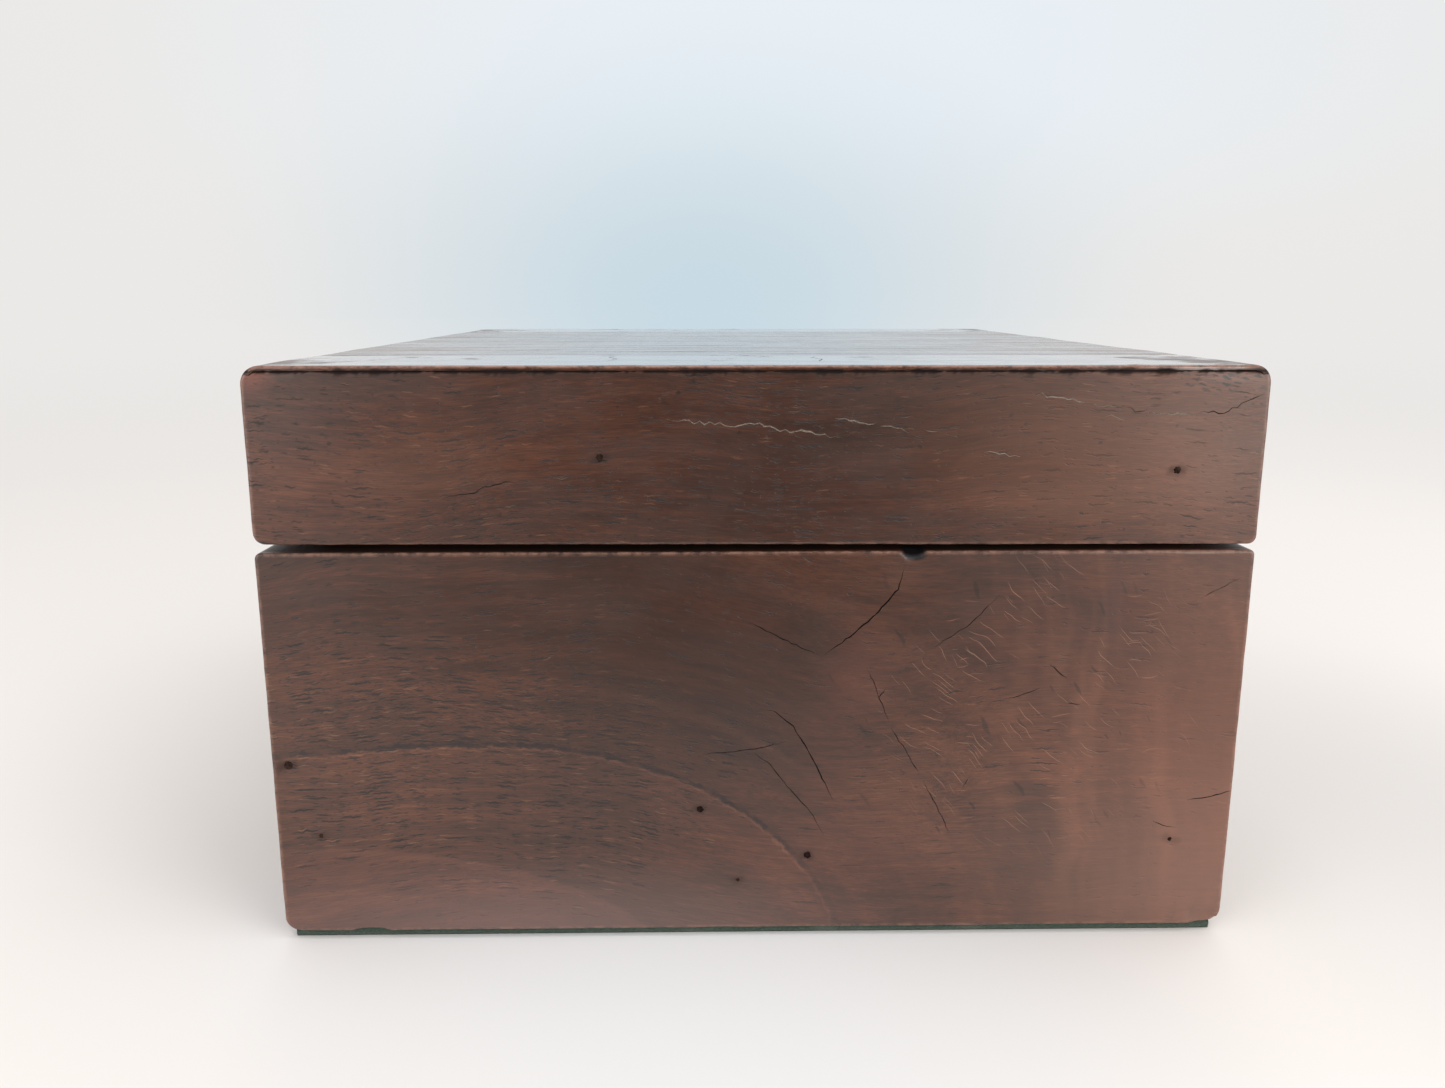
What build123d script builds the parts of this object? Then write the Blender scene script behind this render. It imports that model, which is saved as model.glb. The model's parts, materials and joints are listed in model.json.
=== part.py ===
"""Rectangular mahogany tea caddy with a hinged lid, two lidded tea compartments and a box lock.

Frame: millimetres, +Z up, origin at the middle of the underside. The front, with the lock, faces -Y,
the hinges are at the back, +Y, and the ends face +X and -X. Everything is drawn about the middle of
the wood, and is shifted at the end by half of what the hinge knuckles stand proud.
"""
from build123d import *
from math import tan, radians
import os

# ---------------------------------------------------------------- driving dimensions
LENGTH = 216.0            # along X, end face to end face
DEPTH = 176.0             # along Y, front to back
HEIGHT = 106.6            # top of the lid above the table
BAIZE = 1.6               # cloth glued under the base
RIM_Z = 74.2              # top edge of the body
GAP_FRONT = 1.4           # the lid stands this far off the body along the front
GAP_BACK = 0.9            # and this far along the back
WALL = 9.0                # body wall thickness
LID_WALL = 8.5            # lid wall thickness
LID_TOP = 7.0             # lid top board thickness
BODY_RADII = (3.0, 3.2, 1.2, 1.2)    # long edges: bottom front, bottom back, top back, top front
LID_RADII = (3.2, 1.8, 3.2, 4.2)     # the same four edges of the lid
ARRIS_R = 0.9             # rounding of the edges of the end faces
REBATE = 5.0              # the ends of the front and back sit this deep in the end boards

BASE_T = 6.0              # base board
LINING_T = 3.0            # lining boards inside the body
LIP = 3.0                 # the lining stands this far above the rim, to locate the lid
DIVIDER_T = 5.0
DIVIDER_TOP = 72.0
HOUSING = 1.2             # depth of the grooves that hold the divider
SEAT_Z = 62.0             # underside of the inner lids
SEAT_W = 3.5              # bearer section
FOIL_T = 0.4
INNER_LID_T = 5.5
INNER_LID_PLAY = 0.5
KNOB_H = 11.5
KNOB_R = 6.0
KNOB_PEG_R = 2.0

SIDE_BOARD_W = 34.0       # the narrow boards at the two ends of the lid top
TOP_LAP_T = 1.0           # the top's thin edge, which laps over the walls
TONGUE = 5.0              # the middle board's tongues reach this far into the narrow ones
TONGUE_T = 2.4
TONGUE_STOP = 8.0         # and stop this far short of the front and the back

HINGE_X = 66.0            # centre of each hinge
HINGE_L = 34.0
KNUCKLE_R = 1.6
HINGE_PROUD = 0.6         # the knuckles stand this far out of the back
HINGE_Y = DEPTH / 2 + HINGE_PROUD - KNUCKLE_R
HINGE_Z = RIM_Z + GAP_BACK / 2
KNUCKLES = 5
KNUCKLE_PLAY = 0.15       # free length between two knuckles
PIN_R = 0.85
PIN_PLAY = 0.05           # radial clearance of the pin in every knuckle
LEAF_T = 1.2
LEAF_FRONT_Y = 79.8
SCREW_X = 10.5            # screws stand this far each side of a hinge's centre
SCREW_Y = 82.3

LOCK_X = 19.0             # half the lock case's length
LOCK_FACE_Y = -84.6       # the lock's front, inside the front board
LOCK_BACK_Y = -79.1       # the lock's back, against the lining
LOCK_BOTTOM_Z = 49.0
LOCK_PLATE_T = 0.9
SELVEDGE_X = 24.0         # half the length of the lock's top flange
SELVEDGE_T = 1.4
KEY_Z = 56.0              # height of the key pin
STAPLES_X = (-8.0, 10.0)
STAPLE_T = 2.0
BOLT_Y = (-82.45, -81.25)             # the bolt's two faces
BOLT_BASE_Z = (60.0, 64.5)            # lower and upper edge of the bolt's bar
HOOK_BACK = 8.5                       # at rest a hook's arm starts this far left of its staple
HOOK_L = 7.0                          # arm and point of one hook, which stops 0.5 mm short of the staple
STUD_Z = 67.0

PIN_HEAD_R = 0.75         # iron pins in the end boards
PIN_L = 6.5

# ---------------------------------------------------------------- worked-out places
END_X = LENGTH / 2
SIDE_Y = DEPTH / 2
IN_X = END_X - WALL                   # inner faces of the body walls
IN_Y = SIDE_Y - WALL
LID_IN_X = END_X - LID_WALL           # inner faces of the lid walls
LID_IN_Y = SIDE_Y - LID_WALL
LID_UNDER = HEIGHT - LID_TOP          # underside of the lid's top boards
LAP_Z = HEIGHT - TOP_LAP_T            # top of the lid walls' outer layer
LAP_X = LID_IN_X + REBATE             # inside of that layer
LAP_Y = LID_IN_Y + REBATE
BASE_TOP = BAIZE + BASE_T
LINING_X = IN_X - LINING_T            # inner faces of the lining
LINING_Y = IN_Y - LINING_T
LIP_Z = RIM_Z + LIP
TOP_JOINT_X = END_X - SIDE_BOARD_W    # joints between the three boards of the lid top


def block(x, y, z):
    """A box between two corners, from pairs of low and high values."""
    size = (x[1] - x[0], y[1] - y[0], z[1] - z[0])
    middle = ((x[0] + x[1]) / 2, (y[0] + y[1]) / 2, (z[0] + z[1]) / 2)
    return Pos(*middle) * Box(*size)


def rod(centre, radius, length, direction):
    """A cylinder centred on a point, along a direction."""
    return Plane(origin=centre, z_dir=direction) * Cylinder(radius, length)


def group(solids):
    """Separate solids kept together in one node."""
    return Compound(children=[s for one in solids for s in one.solids()])


# ---------------------------------------------------------------- outer forms
def worn_form(z_low, z_high, radii, tilt_low=0.0):
    """The outside of the body or the lid, with rounded long edges and softened end arrises.

    tilt_low lifts the lower edge of the front above that of the back.
    """
    corners = [(-SIDE_Y, z_low + tilt_low), (SIDE_Y, z_low), (SIDE_Y, z_high), (-SIDE_Y, z_high)]
    profile = Plane.YZ * make_face(Polyline(*corners, close=True))
    form = Pos(-END_X, 0, 0) * extrude(profile, LENGTH)
    for (y, z), radius in zip(corners, radii):
        edge = form.edges().filter_by(Axis.X).sort_by_distance((0, y, z))[0]
        form = fillet(edge, radius)
    ends = form.faces().sort_by(Axis.X)
    return fillet(ends[0].edges() + ends[-1].edges(), ARRIS_R)


def hinge_clearance(side):
    """Room for one hinge's knuckles in the back boards."""
    return rod((side * HINGE_X, HINGE_Y, HINGE_Z), KNUCKLE_R + 0.2, HINGE_L + 0.6, (1, 0, 0))


def leaf_bed(side, z):
    """The shallow recess that one hinge leaf lies in."""
    half = HINGE_L / 2
    x = side * HINGE_X
    return block((x - half, x + half), (LEAF_FRONT_Y, SIDE_Y + 1), z)


# ---------------------------------------------------------------- fasteners
def screw(point, up, length=6.0, head_r=1.7, shank_r=0.8, head_h=1.0):
    """A slotted countersunk screw with its head's flat at a point, driven down, or up."""
    profile = make_face(
        Polyline((0, 0), (head_r, 0), (head_r, -0.15), (shank_r, -head_h), (shank_r, -length + 1.2),
                 (0, -length), close=True)
    )
    solid = revolve(Plane.XZ * profile, Axis.Z)
    solid -= Box(2 * head_r + 1, 0.45, 0.9)
    turn = Rot(180, 0, 0) if up else Rot(0, 0, 0)
    return Pos(*point) * turn * solid


def screw_hole(point, up, length=6.0, head_r=1.7, shank_r=0.8, head_h=1.0):
    """The countersunk hole that one screw fills, without its slot."""
    profile = make_face(
        Polyline((0, 0.2), (head_r, 0.2), (head_r, -0.15), (shank_r, -head_h), (shank_r, -length + 1.2),
                 (0, -length), close=True)
    )
    turn = Rot(180, 0, 0) if up else Rot(0, 0, 0)
    return Pos(*point) * turn * revolve(Plane.XZ * profile, Axis.Z)


def hinge_screw_points(side, z):
    return [(side * HINGE_X + dx, SCREW_Y, z) for dx in (-SCREW_X, 0.0, SCREW_X)]


LOCK_SCREWS = [(x, -82.0, RIM_Z) for x in (-SELVEDGE_X + 2.4, SELVEDGE_X - 2.4)]
LINK_Z = RIM_Z + GAP_FRONT            # underside of the link plate
LINK_SCREWS = [(x, -82.0, LINK_Z) for x in (-20.0, 1.0, 20.0)]

# Places of the iron pins on an end face, as (y, z). The other end has them mirrored.
BODY_PINS = [(-85.0, 34.7), (-80.0, 21.0), (-10.4, 25.7), (9.5, 16.4), (-3.4, 11.5), (77.0, 19.0)]
LID_PINS = [(-27.4, 90.8), (72.8, 88.4)]


def end_pins(side, places):
    """The pins that hold one end board, with their heads just below its face."""
    middle_x = side * (END_X - 0.15 - PIN_L / 2)
    return group(rod((middle_x, y, z), PIN_HEAD_R, PIN_L, (1, 0, 0)) for y, z in places)


def pin_holes(side, places):
    middle_x = side * (END_X + 1 - (PIN_L + 1.15) / 2)
    return [rod((middle_x, y, z), PIN_HEAD_R, PIN_L + 1.15, (1, 0, 0)) for y, z in places]


# ---------------------------------------------------------------- body boards
def body_boards(form):
    front = block((-END_X + WALL - REBATE, END_X - WALL + REBATE), (-SIDE_Y, -IN_Y), (BAIZE, RIM_Z)) & form
    back = mirror(front, Plane.XZ)
    front = front - lock_mortise() - keyhole_solid(-SIDE_Y - 1, LOCK_FACE_Y + 0.5) - escutcheon_bed()
    front = front - [screw_hole(p, False) for p in LOCK_SCREWS]
    front = front - pin_holes(-1, BODY_PINS) - pin_holes(1, BODY_PINS)
    for side in (-1, 1):
        back = back - hinge_clearance(side) - leaf_bed(side, (RIM_Z - LEAF_T, RIM_Z + 1))
        back = back - [screw_hole(p, False) for p in hinge_screw_points(side, RIM_Z)]
    ends = {}
    for name, side in (("left", -1), ("right", 1)):
        board = block(sorted((side * IN_X, side * END_X)), (-SIDE_Y, SIDE_Y), (BAIZE, RIM_Z)) & form
        for y in ((-SIDE_Y, -IN_Y), (IN_Y, SIDE_Y)):
            board = board - block(sorted((side * IN_X, side * (IN_X + REBATE))), y, (0, HEIGHT))
        ends[name] = board - pin_holes(side, BODY_PINS)
    base = block((-IN_X, IN_X), (-IN_Y, IN_Y), (BAIZE, BASE_TOP))
    return front, back, ends["left"], ends["right"], base


def baize_pad():
    inset = 1.4
    pad = block((-END_X + inset, END_X - inset), (-SIDE_Y + inset, SIDE_Y - inset), (0, BAIZE))
    return fillet(pad.edges().filter_by(Axis.Z), 2.0)


def lining_boards():
    """Front, back and end lining boards. Their rounded top edges are the lip that locates the lid."""
    groove = block((-DIVIDER_T / 2, DIVIDER_T / 2), (-LINING_Y - HOUSING, LINING_Y + HOUSING),
                   (BASE_TOP, DIVIDER_TOP))
    front = block((-IN_X, IN_X), (-IN_Y, -LINING_Y), (BASE_TOP, LIP_Z))
    front = fillet(front.edges().filter_by(Axis.X).group_by(Axis.Z)[-1], 1.0) - groove
    left = block((-IN_X, -LINING_X), (-LINING_Y, LINING_Y), (BASE_TOP, LIP_Z))
    left = fillet(left.edges().filter_by(Axis.Y).group_by(Axis.Z)[-1], 1.0)
    return front, mirror(front, Plane.XZ), left, mirror(left, Plane.YZ)


def divider_board():
    reach = LINING_Y + HOUSING
    board = block((-DIVIDER_T / 2, DIVIDER_T / 2), (-reach, reach), (BASE_TOP, DIVIDER_TOP))
    return fillet(board.edges().filter_by(Axis.Y).group_by(Axis.Z)[-1], 0.8)


def compartment(side):
    """The x range of one tea compartment."""
    return sorted((side * DIVIDER_T / 2, side * LINING_X))


def foil_tray(side):
    """Thin tea-lead lining of one compartment, up to the bearers."""
    x_low, x_high = compartment(side)
    top = SEAT_Z - SEAT_W
    outer = block((x_low, x_high), (-LINING_Y, LINING_Y), (BASE_TOP, top))
    inner = block((x_low + FOIL_T, x_high - FOIL_T), (-LINING_Y + FOIL_T, LINING_Y - FOIL_T),
                  (BASE_TOP + FOIL_T, top + 1))
    return outer - inner


def bearers(side):
    """Four strips round one compartment that its inner lid rests on."""
    x_low, x_high = compartment(side)
    z = (SEAT_Z - SEAT_W, SEAT_Z)
    strips = [
        block((x_low, x_high), (-LINING_Y, -LINING_Y + SEAT_W), z),
        block((x_low, x_high), (LINING_Y - SEAT_W, LINING_Y), z),
        block((x_low, x_low + SEAT_W), (-LINING_Y + SEAT_W, LINING_Y - SEAT_W), z),
        block((x_high - SEAT_W, x_high), (-LINING_Y + SEAT_W, LINING_Y - SEAT_W), z),
    ]
    return group(strips)


def inner_lid(side):
    """Loose lid of one compartment, with a bevelled edge and a hole for its knob's peg."""
    x_low, x_high = compartment(side)
    reach = LINING_Y - INNER_LID_PLAY
    panel = block((x_low + INNER_LID_PLAY, x_high - INNER_LID_PLAY), (-reach, reach),
                  (SEAT_Z, SEAT_Z + INNER_LID_T))
    panel = chamfer(panel.faces().sort_by(Axis.Z)[-1].edges(), 1.6, 3.2)
    return panel - rod(((x_low + x_high) / 2, 0, SEAT_Z), KNOB_PEG_R, 4 * INNER_LID_T, (0, 0, 1))


def knob(side):
    """Turned knob with a collar, a waist, a domed head and a peg through the inner lid."""
    x_low, x_high = compartment(side)
    peg_z = -INNER_LID_T + 0.4
    outline = (
        Line((0, peg_z), (KNOB_PEG_R, peg_z))
        + Line((KNOB_PEG_R, peg_z), (KNOB_PEG_R, 0))
        + Line((KNOB_PEG_R, 0), (0.8 * KNOB_R, 0))
        + ThreePointArc((0.8 * KNOB_R, 0), (0.87 * KNOB_R, 0.8), (0.72 * KNOB_R, 1.6))
        + ThreePointArc((0.72 * KNOB_R, 1.6), (0.42 * KNOB_R, 3.6), (0.7 * KNOB_R, 5.8))
        + ThreePointArc((0.7 * KNOB_R, 5.8), (KNOB_R, 8.2), (0.62 * KNOB_R, 10.6))
        + TangentArc((0, KNOB_H), (0.62 * KNOB_R, 10.6), tangent=(1, 0))
        + Line((0, KNOB_H), (0, peg_z))
    )
    solid = revolve(Plane.XZ * make_face(outline), Axis.Z)
    return Pos((x_low + x_high) / 2, 0, SEAT_Z + INNER_LID_T) * solid


# ---------------------------------------------------------------- lid boards
def lid_boards(form):
    front = block((-LAP_X, LAP_X), (-SIDE_Y, -LID_IN_Y), (RIM_Z, LID_UNDER))
    front = (front + block((-LAP_X, LAP_X), (-SIDE_Y, -LAP_Y), (LID_UNDER, LAP_Z))) & form
    back = block((-LAP_X, LAP_X), (LID_IN_Y, SIDE_Y), (RIM_Z, LID_UNDER))
    back = (back + block((-LAP_X, LAP_X), (LAP_Y, SIDE_Y), (LID_UNDER, LAP_Z))) & form
    front = front - block((-SELVEDGE_X, SELVEDGE_X), (-84.4, -LID_IN_Y), (RIM_Z, LINK_Z + 1.3))
    front = front - [screw_hole(p, True) for p in LINK_SCREWS]
    leaf_z = RIM_Z + GAP_BACK
    for side in (-1, 1):
        back = back - hinge_clearance(side) - leaf_bed(side, (RIM_Z, leaf_z + LEAF_T))
        back = back - [screw_hole(p, True) for p in hinge_screw_points(side, leaf_z)]
    ends = {}
    for name, side in (("left", -1), ("right", 1)):
        board = block(sorted((side * LID_IN_X, side * END_X)), (-SIDE_Y, SIDE_Y), (RIM_Z, LID_UNDER))
        board = board + block(sorted((side * LAP_X, side * END_X)), (-SIDE_Y, SIDE_Y), (LID_UNDER, LAP_Z))
        board = board & form
        for y in ((-SIDE_Y, -LID_IN_Y), (LID_IN_Y, SIDE_Y)):
            board = board - block(sorted((side * LID_IN_X, side * LAP_X)), y, (0, HEIGHT))
        ends[name] = board - pin_holes(side, LID_PINS)
    return front, back, ends["left"], ends["right"]


def lid_top_boards(form):
    """Middle board with a tongue along each side, and the two narrow grooved boards beside it.

    They drop in between the walls' outer layers, and their thin edges lap over those.
    """
    middle_z = HEIGHT - LID_TOP / 2
    tongue_z = (middle_z - TONGUE_T / 2, middle_z + TONGUE_T / 2)
    tongue_y = SIDE_Y - TONGUE_STOP
    tongues = block((-TOP_JOINT_X - TONGUE, TOP_JOINT_X + TONGUE), (-tongue_y, tongue_y), tongue_z)
    panel = block((-LAP_X, LAP_X), (-LAP_Y, LAP_Y), (LID_UNDER, HEIGHT))
    panel = (panel + block((-END_X, END_X), (-SIDE_Y, SIDE_Y), (LAP_Z, HEIGHT))) & form
    middle = (block((-TOP_JOINT_X, TOP_JOINT_X), (-SIDE_Y, SIDE_Y), (LID_UNDER, HEIGHT)) & panel) + tongues
    left = (block((-END_X, -TOP_JOINT_X), (-SIDE_Y, SIDE_Y), (LID_UNDER, HEIGHT)) & panel) - tongues
    return middle, left, mirror(left, Plane.YZ)


# ---------------------------------------------------------------- hinges
def knuckle_spans(side):
    """The x range of each knuckle of one hinge, in order."""
    pitch = HINGE_L / KNUCKLES
    start = side * HINGE_X - HINGE_L / 2
    return [(start + i * pitch + KNUCKLE_PLAY / 2, start + (i + 1) * pitch - KNUCKLE_PLAY / 2)
            for i in range(KNUCKLES)]


def hinge_leaf(side, upper):
    """One brass leaf with its knuckles. The lower leaf has the first, third and fifth knuckle."""
    z = (RIM_Z + GAP_BACK, RIM_Z + GAP_BACK + LEAF_T) if upper else (RIM_Z - LEAF_T, RIM_Z)
    half = HINGE_L / 2
    x = side * HINGE_X
    leaf = block((x - half, x + half), (LEAF_FRONT_Y, HINGE_Y), z)
    spans = knuckle_spans(side)
    own = spans[1::2] if upper else spans[0::2]
    other = spans[0::2] if upper else spans[1::2]
    for low, high in other:
        reach = KNUCKLE_PLAY
        leaf = leaf - rod(((low + high) / 2, HINGE_Y, HINGE_Z), KNUCKLE_R + 0.2, high - low + 2 * reach, (1, 0, 0))
    for low, high in own:
        leaf = leaf + rod(((low + high) / 2, HINGE_Y, HINGE_Z), KNUCKLE_R, high - low, (1, 0, 0))
    leaf = leaf - rod((x, HINGE_Y, HINGE_Z), PIN_R + PIN_PLAY, HINGE_L + 2, (1, 0, 0))
    face_z = RIM_Z + GAP_BACK if upper else RIM_Z
    return leaf - [screw_hole(p, upper) for p in hinge_screw_points(side, face_z)]


def hinge_pin(side):
    return rod((side * HINGE_X, HINGE_Y, HINGE_Z), PIN_R, HINGE_L, (1, 0, 0))


# ---------------------------------------------------------------- lock
def lock_mortise():
    """The pocket in the front board for the lock and its top flange."""
    case = block((-LOCK_X, LOCK_X), (LOCK_FACE_Y, -IN_Y), (LOCK_BOTTOM_Z, RIM_Z + 1))
    flange = block((-SELVEDGE_X, SELVEDGE_X), (LOCK_FACE_Y, -IN_Y), (RIM_Z - SELVEDGE_T, RIM_Z + 1))
    return case + flange


def keyhole_outline(grow=0.0):
    """A round eye with a slot below it, made larger all round by grow."""
    eye = Circle(1.9 + grow)
    slot_bottom = -5.8 - grow
    slot = Pos(0, slot_bottom / 2) * Rectangle(1.7 + 2 * grow, -slot_bottom)
    return eye + slot


def keyhole_solid(y_low, y_high, grow=0.0):
    plane = Plane(origin=(0, y_low, KEY_Z), x_dir=(1, 0, 0), z_dir=(0, -1, 0))
    return extrude(plane * keyhole_outline(grow), -(y_high - y_low))


def escutcheon_bed():
    return keyhole_solid(-SIDE_Y - 1, -SIDE_Y + 2.2, 1.0)


def escutcheon():
    """Brass keyhole lining let into the front face."""
    return keyhole_solid(-SIDE_Y, -SIDE_Y + 2.2, 1.0) - keyhole_solid(-SIDE_Y - 1, -SIDE_Y + 3.2)


def lock_case():
    """Brass case open towards the front, with the flange that shows on the rim."""
    top_z = RIM_Z - SELVEDGE_T
    shell = block((-LOCK_X, LOCK_X), (LOCK_FACE_Y, LOCK_BACK_Y), (LOCK_BOTTOM_Z, RIM_Z))
    hollow = block((-LOCK_X + LOCK_PLATE_T, LOCK_X - LOCK_PLATE_T), (LOCK_FACE_Y - 1, LOCK_BACK_Y - LOCK_PLATE_T),
                   (LOCK_BOTTOM_Z + LOCK_PLATE_T, top_z))
    flange = block((-SELVEDGE_X, SELVEDGE_X), (LOCK_FACE_Y, LOCK_BACK_Y), (top_z, RIM_Z))
    case = shell - hollow + flange
    for x in STAPLES_X:
        case = case - block((x - 1.6, x + 1.6), (-83.75, -79.95), (top_z - 1, RIM_Z + 1))
    return case - [screw_hole(p, False) for p in LOCK_SCREWS]


def lock_cover():
    """Plate that closes the case, with the keyhole."""
    plate = block((-LOCK_X + LOCK_PLATE_T, LOCK_X - LOCK_PLATE_T), (LOCK_FACE_Y, LOCK_FACE_Y + 0.8),
                  (LOCK_BOTTOM_Z + LOCK_PLATE_T, RIM_Z - SELVEDGE_T))
    return plate - keyhole_solid(LOCK_FACE_Y - 1, LOCK_FACE_Y + 2)


def lock_bolt():
    """Sliding bolt with two hooks. Its lower edge has the notch that the key's bit turns in."""
    bolt = block((-16.5, 8.0), BOLT_Y, BOLT_BASE_Z)
    for x in STAPLES_X:
        arm_x = x - HOOK_BACK
        bolt += block((arm_x, arm_x + 2.0), BOLT_Y, (BOLT_BASE_Z[1] - 1, 71.0))
        bolt += block((arm_x, arm_x + HOOK_L), BOLT_Y, (69.2, 71.0))
    notch = rod((-2.0, -82.0, BOLT_BASE_Z[0]), 2.6, 4, (0, 1, 0))
    return bolt - notch


def lock_back_spring():
    """Thin bowed strip on top of the bolt, whose flat end bears up against the guide stud."""
    y_middle = (BOLT_Y[0] + BOLT_Y[1]) / 2
    line = (
        Line((-13.0, BOLT_BASE_Z[1] + 0.2), (-10.5, BOLT_BASE_Z[1] + 0.2))
        + ThreePointArc((-10.5, BOLT_BASE_Z[1] + 0.2), (-8.4, BOLT_BASE_Z[1] + 0.5), (-6.5, 65.7))
        + Line((-6.5, 65.7), (1.0, 65.7))
    )
    strip = Plane.XZ.offset(-y_middle - 0.5) * offset(line, 0.2, side=Side.BOTH)
    return extrude(make_face(strip.edges()), 1.0)


def lock_guide_stud():
    """Stud across the case that the bolt's spring bears on."""
    low, high = LOCK_FACE_Y + 0.8, LOCK_BACK_Y - LOCK_PLATE_T
    return rod((0, (low + high) / 2, STUD_Z), 1.0, high - low, (0, 1, 0))


def lock_key_pin():
    """Pin in the middle of the keyhole that a pipe key turns on."""
    low, high = LOCK_FACE_Y - 0.6, LOCK_BACK_Y - LOCK_PLATE_T
    return rod((0, (low + high) / 2, KEY_Z), 0.8, high - low, (0, 1, 0))


def link_plate():
    """Plate under the lid's front edge with two eyed staples for the bolt."""
    plate = block((-SELVEDGE_X, SELVEDGE_X), (-84.4, -LID_IN_Y), (LINK_Z, LINK_Z + 1.3))
    for x in STAPLES_X:
        ends = (x - STAPLE_T / 2, x + STAPLE_T / 2)
        plate += block(ends, (-83.45, -80.25), (67.6, LINK_Z))
        plate -= block(ends, (-82.75, -80.95), (68.7, 71.5))
    return plate - [screw_hole(p, True) for p in LINK_SCREWS]


# ---------------------------------------------------------------- assembly
def build():
    body_form = worn_form(BAIZE, RIM_Z, BODY_RADII)
    lid_form = worn_form(RIM_Z + GAP_BACK, HEIGHT, LID_RADII, GAP_FRONT - GAP_BACK)
    nodes = {}
    names = ("body_front", "body_back", "body_left_end", "body_right_end", "base_board")
    nodes.update(zip(names, body_boards(body_form)))
    nodes["base_baize"] = baize_pad()
    nodes.update(zip(("lining_front", "lining_back", "lining_left", "lining_right"), lining_boards()))
    nodes["divider"] = divider_board()
    nodes.update(zip(("lid_front", "lid_back", "lid_left_end", "lid_right_end"), lid_boards(lid_form)))
    names = ("lid_top_middle_board", "lid_top_left_board", "lid_top_right_board")
    nodes.update(zip(names, lid_top_boards(lid_form)))
    for name, side in (("left", -1), ("right", 1)):
        nodes[f"{name}_foil_tray"] = foil_tray(side)
        nodes[f"{name}_bearers"] = bearers(side)
        nodes[f"{name}_inner_lid"] = inner_lid(side)
        nodes[f"{name}_inner_knob"] = knob(side)
        nodes[f"{name}_hinge_lower_leaf"] = hinge_leaf(side, False)
        nodes[f"{name}_hinge_upper_leaf"] = hinge_leaf(side, True)
        nodes[f"{name}_hinge_pin"] = hinge_pin(side)
        nodes[f"{name}_hinge_lower_screws"] = group(screw(p, False) for p in hinge_screw_points(side, RIM_Z))
        nodes[f"{name}_hinge_upper_screws"] = group(
            screw(p, True) for p in hinge_screw_points(side, RIM_Z + GAP_BACK)
        )
        nodes[f"body_{name}_end_pins"] = end_pins(side, BODY_PINS)
        nodes[f"lid_{name}_end_pins"] = end_pins(side, LID_PINS)
    nodes["lock_case"] = lock_case()
    nodes["lock_cover"] = lock_cover()
    nodes["lock_bolt"] = lock_bolt()
    nodes["lock_back_spring"] = lock_back_spring()
    nodes["lock_guide_stud"] = lock_guide_stud()
    nodes["lock_key_pin"] = lock_key_pin()
    nodes["lock_screws"] = group(screw(p, False) for p in LOCK_SCREWS)
    nodes["escutcheon"] = escutcheon()
    nodes["link_plate"] = link_plate()
    nodes["link_plate_screws"] = group(screw(p, True) for p in LINK_SCREWS)
    return nodes


os.makedirs("parts", exist_ok=True)
for node_name, node_shape in build().items():
    centred = [Pos(0, -HINGE_PROUD / 2, 0) * solid for solid in node_shape.solids()]
    export_step(centred[0] if len(centred) == 1 else group(centred), f"parts/{node_name}.step")
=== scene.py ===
"""Looks for a small mahogany tea caddy: worn boards, cracks, baize, brass, and a soft studio."""
import bpy
import bmesh
import json
import math
import random
from functools import partialmethod
import numpy as np
from mathutils import Matrix, Vector

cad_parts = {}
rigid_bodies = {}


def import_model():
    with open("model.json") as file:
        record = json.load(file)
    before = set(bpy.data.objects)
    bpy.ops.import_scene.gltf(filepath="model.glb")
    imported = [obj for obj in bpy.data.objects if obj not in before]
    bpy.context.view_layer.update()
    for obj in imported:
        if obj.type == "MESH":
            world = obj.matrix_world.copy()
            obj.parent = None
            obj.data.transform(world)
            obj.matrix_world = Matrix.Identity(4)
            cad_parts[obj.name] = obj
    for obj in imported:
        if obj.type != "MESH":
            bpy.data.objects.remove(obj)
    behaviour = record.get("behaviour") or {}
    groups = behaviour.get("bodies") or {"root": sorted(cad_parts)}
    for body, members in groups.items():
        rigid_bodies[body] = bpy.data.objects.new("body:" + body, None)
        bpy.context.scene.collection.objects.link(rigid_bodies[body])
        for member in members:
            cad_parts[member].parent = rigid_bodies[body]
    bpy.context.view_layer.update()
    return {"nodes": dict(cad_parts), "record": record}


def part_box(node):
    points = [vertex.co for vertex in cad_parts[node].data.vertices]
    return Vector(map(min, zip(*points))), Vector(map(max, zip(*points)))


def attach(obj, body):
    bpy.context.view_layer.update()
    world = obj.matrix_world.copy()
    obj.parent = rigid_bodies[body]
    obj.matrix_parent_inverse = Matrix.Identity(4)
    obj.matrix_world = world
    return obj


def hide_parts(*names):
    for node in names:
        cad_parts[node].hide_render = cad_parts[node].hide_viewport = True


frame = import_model()

MM = 0.001


# ---- sizes from the frame, in millimetres
def box_mm(node):
    low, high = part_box(node)
    return np.array(low) / MM, np.array(high) / MM


END_LOW, END_HIGH = box_mm("body_right_end")
LID_LOW, LID_HIGH = box_mm("lid_right_end")
MIDDLE_Y = (END_LOW[1] + END_HIGH[1]) / 2     # middle of the wood, a little in front of the origin
END_X = END_HIGH[0]
SIDE_Y = (END_HIGH[1] - END_LOW[1]) / 2
BASE_Z = END_LOW[2]
RIM_Z = END_HIGH[2]
HEIGHT = box_mm("lid_top_middle_board")[1][2]
LID_BACK_Z = LID_LOW[2]                       # underside of the lid at the back
LID_FRONT_Z = box_mm("lid_front")[0][2]       # and at the front
LAP_Z = LID_HIGH[2]                           # joint between the lid walls and the top's thin edge
LID_UNDER = box_mm("lid_top_middle_board")[0][2]
FRONT_END_X = box_mm("body_front")[1][0]      # where the front and back boards end
LID_FRONT_END_X = box_mm("lid_front")[1][0]
WALL_X = END_LOW[0]
LID_WALL_X = LID_LOW[0]
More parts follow.
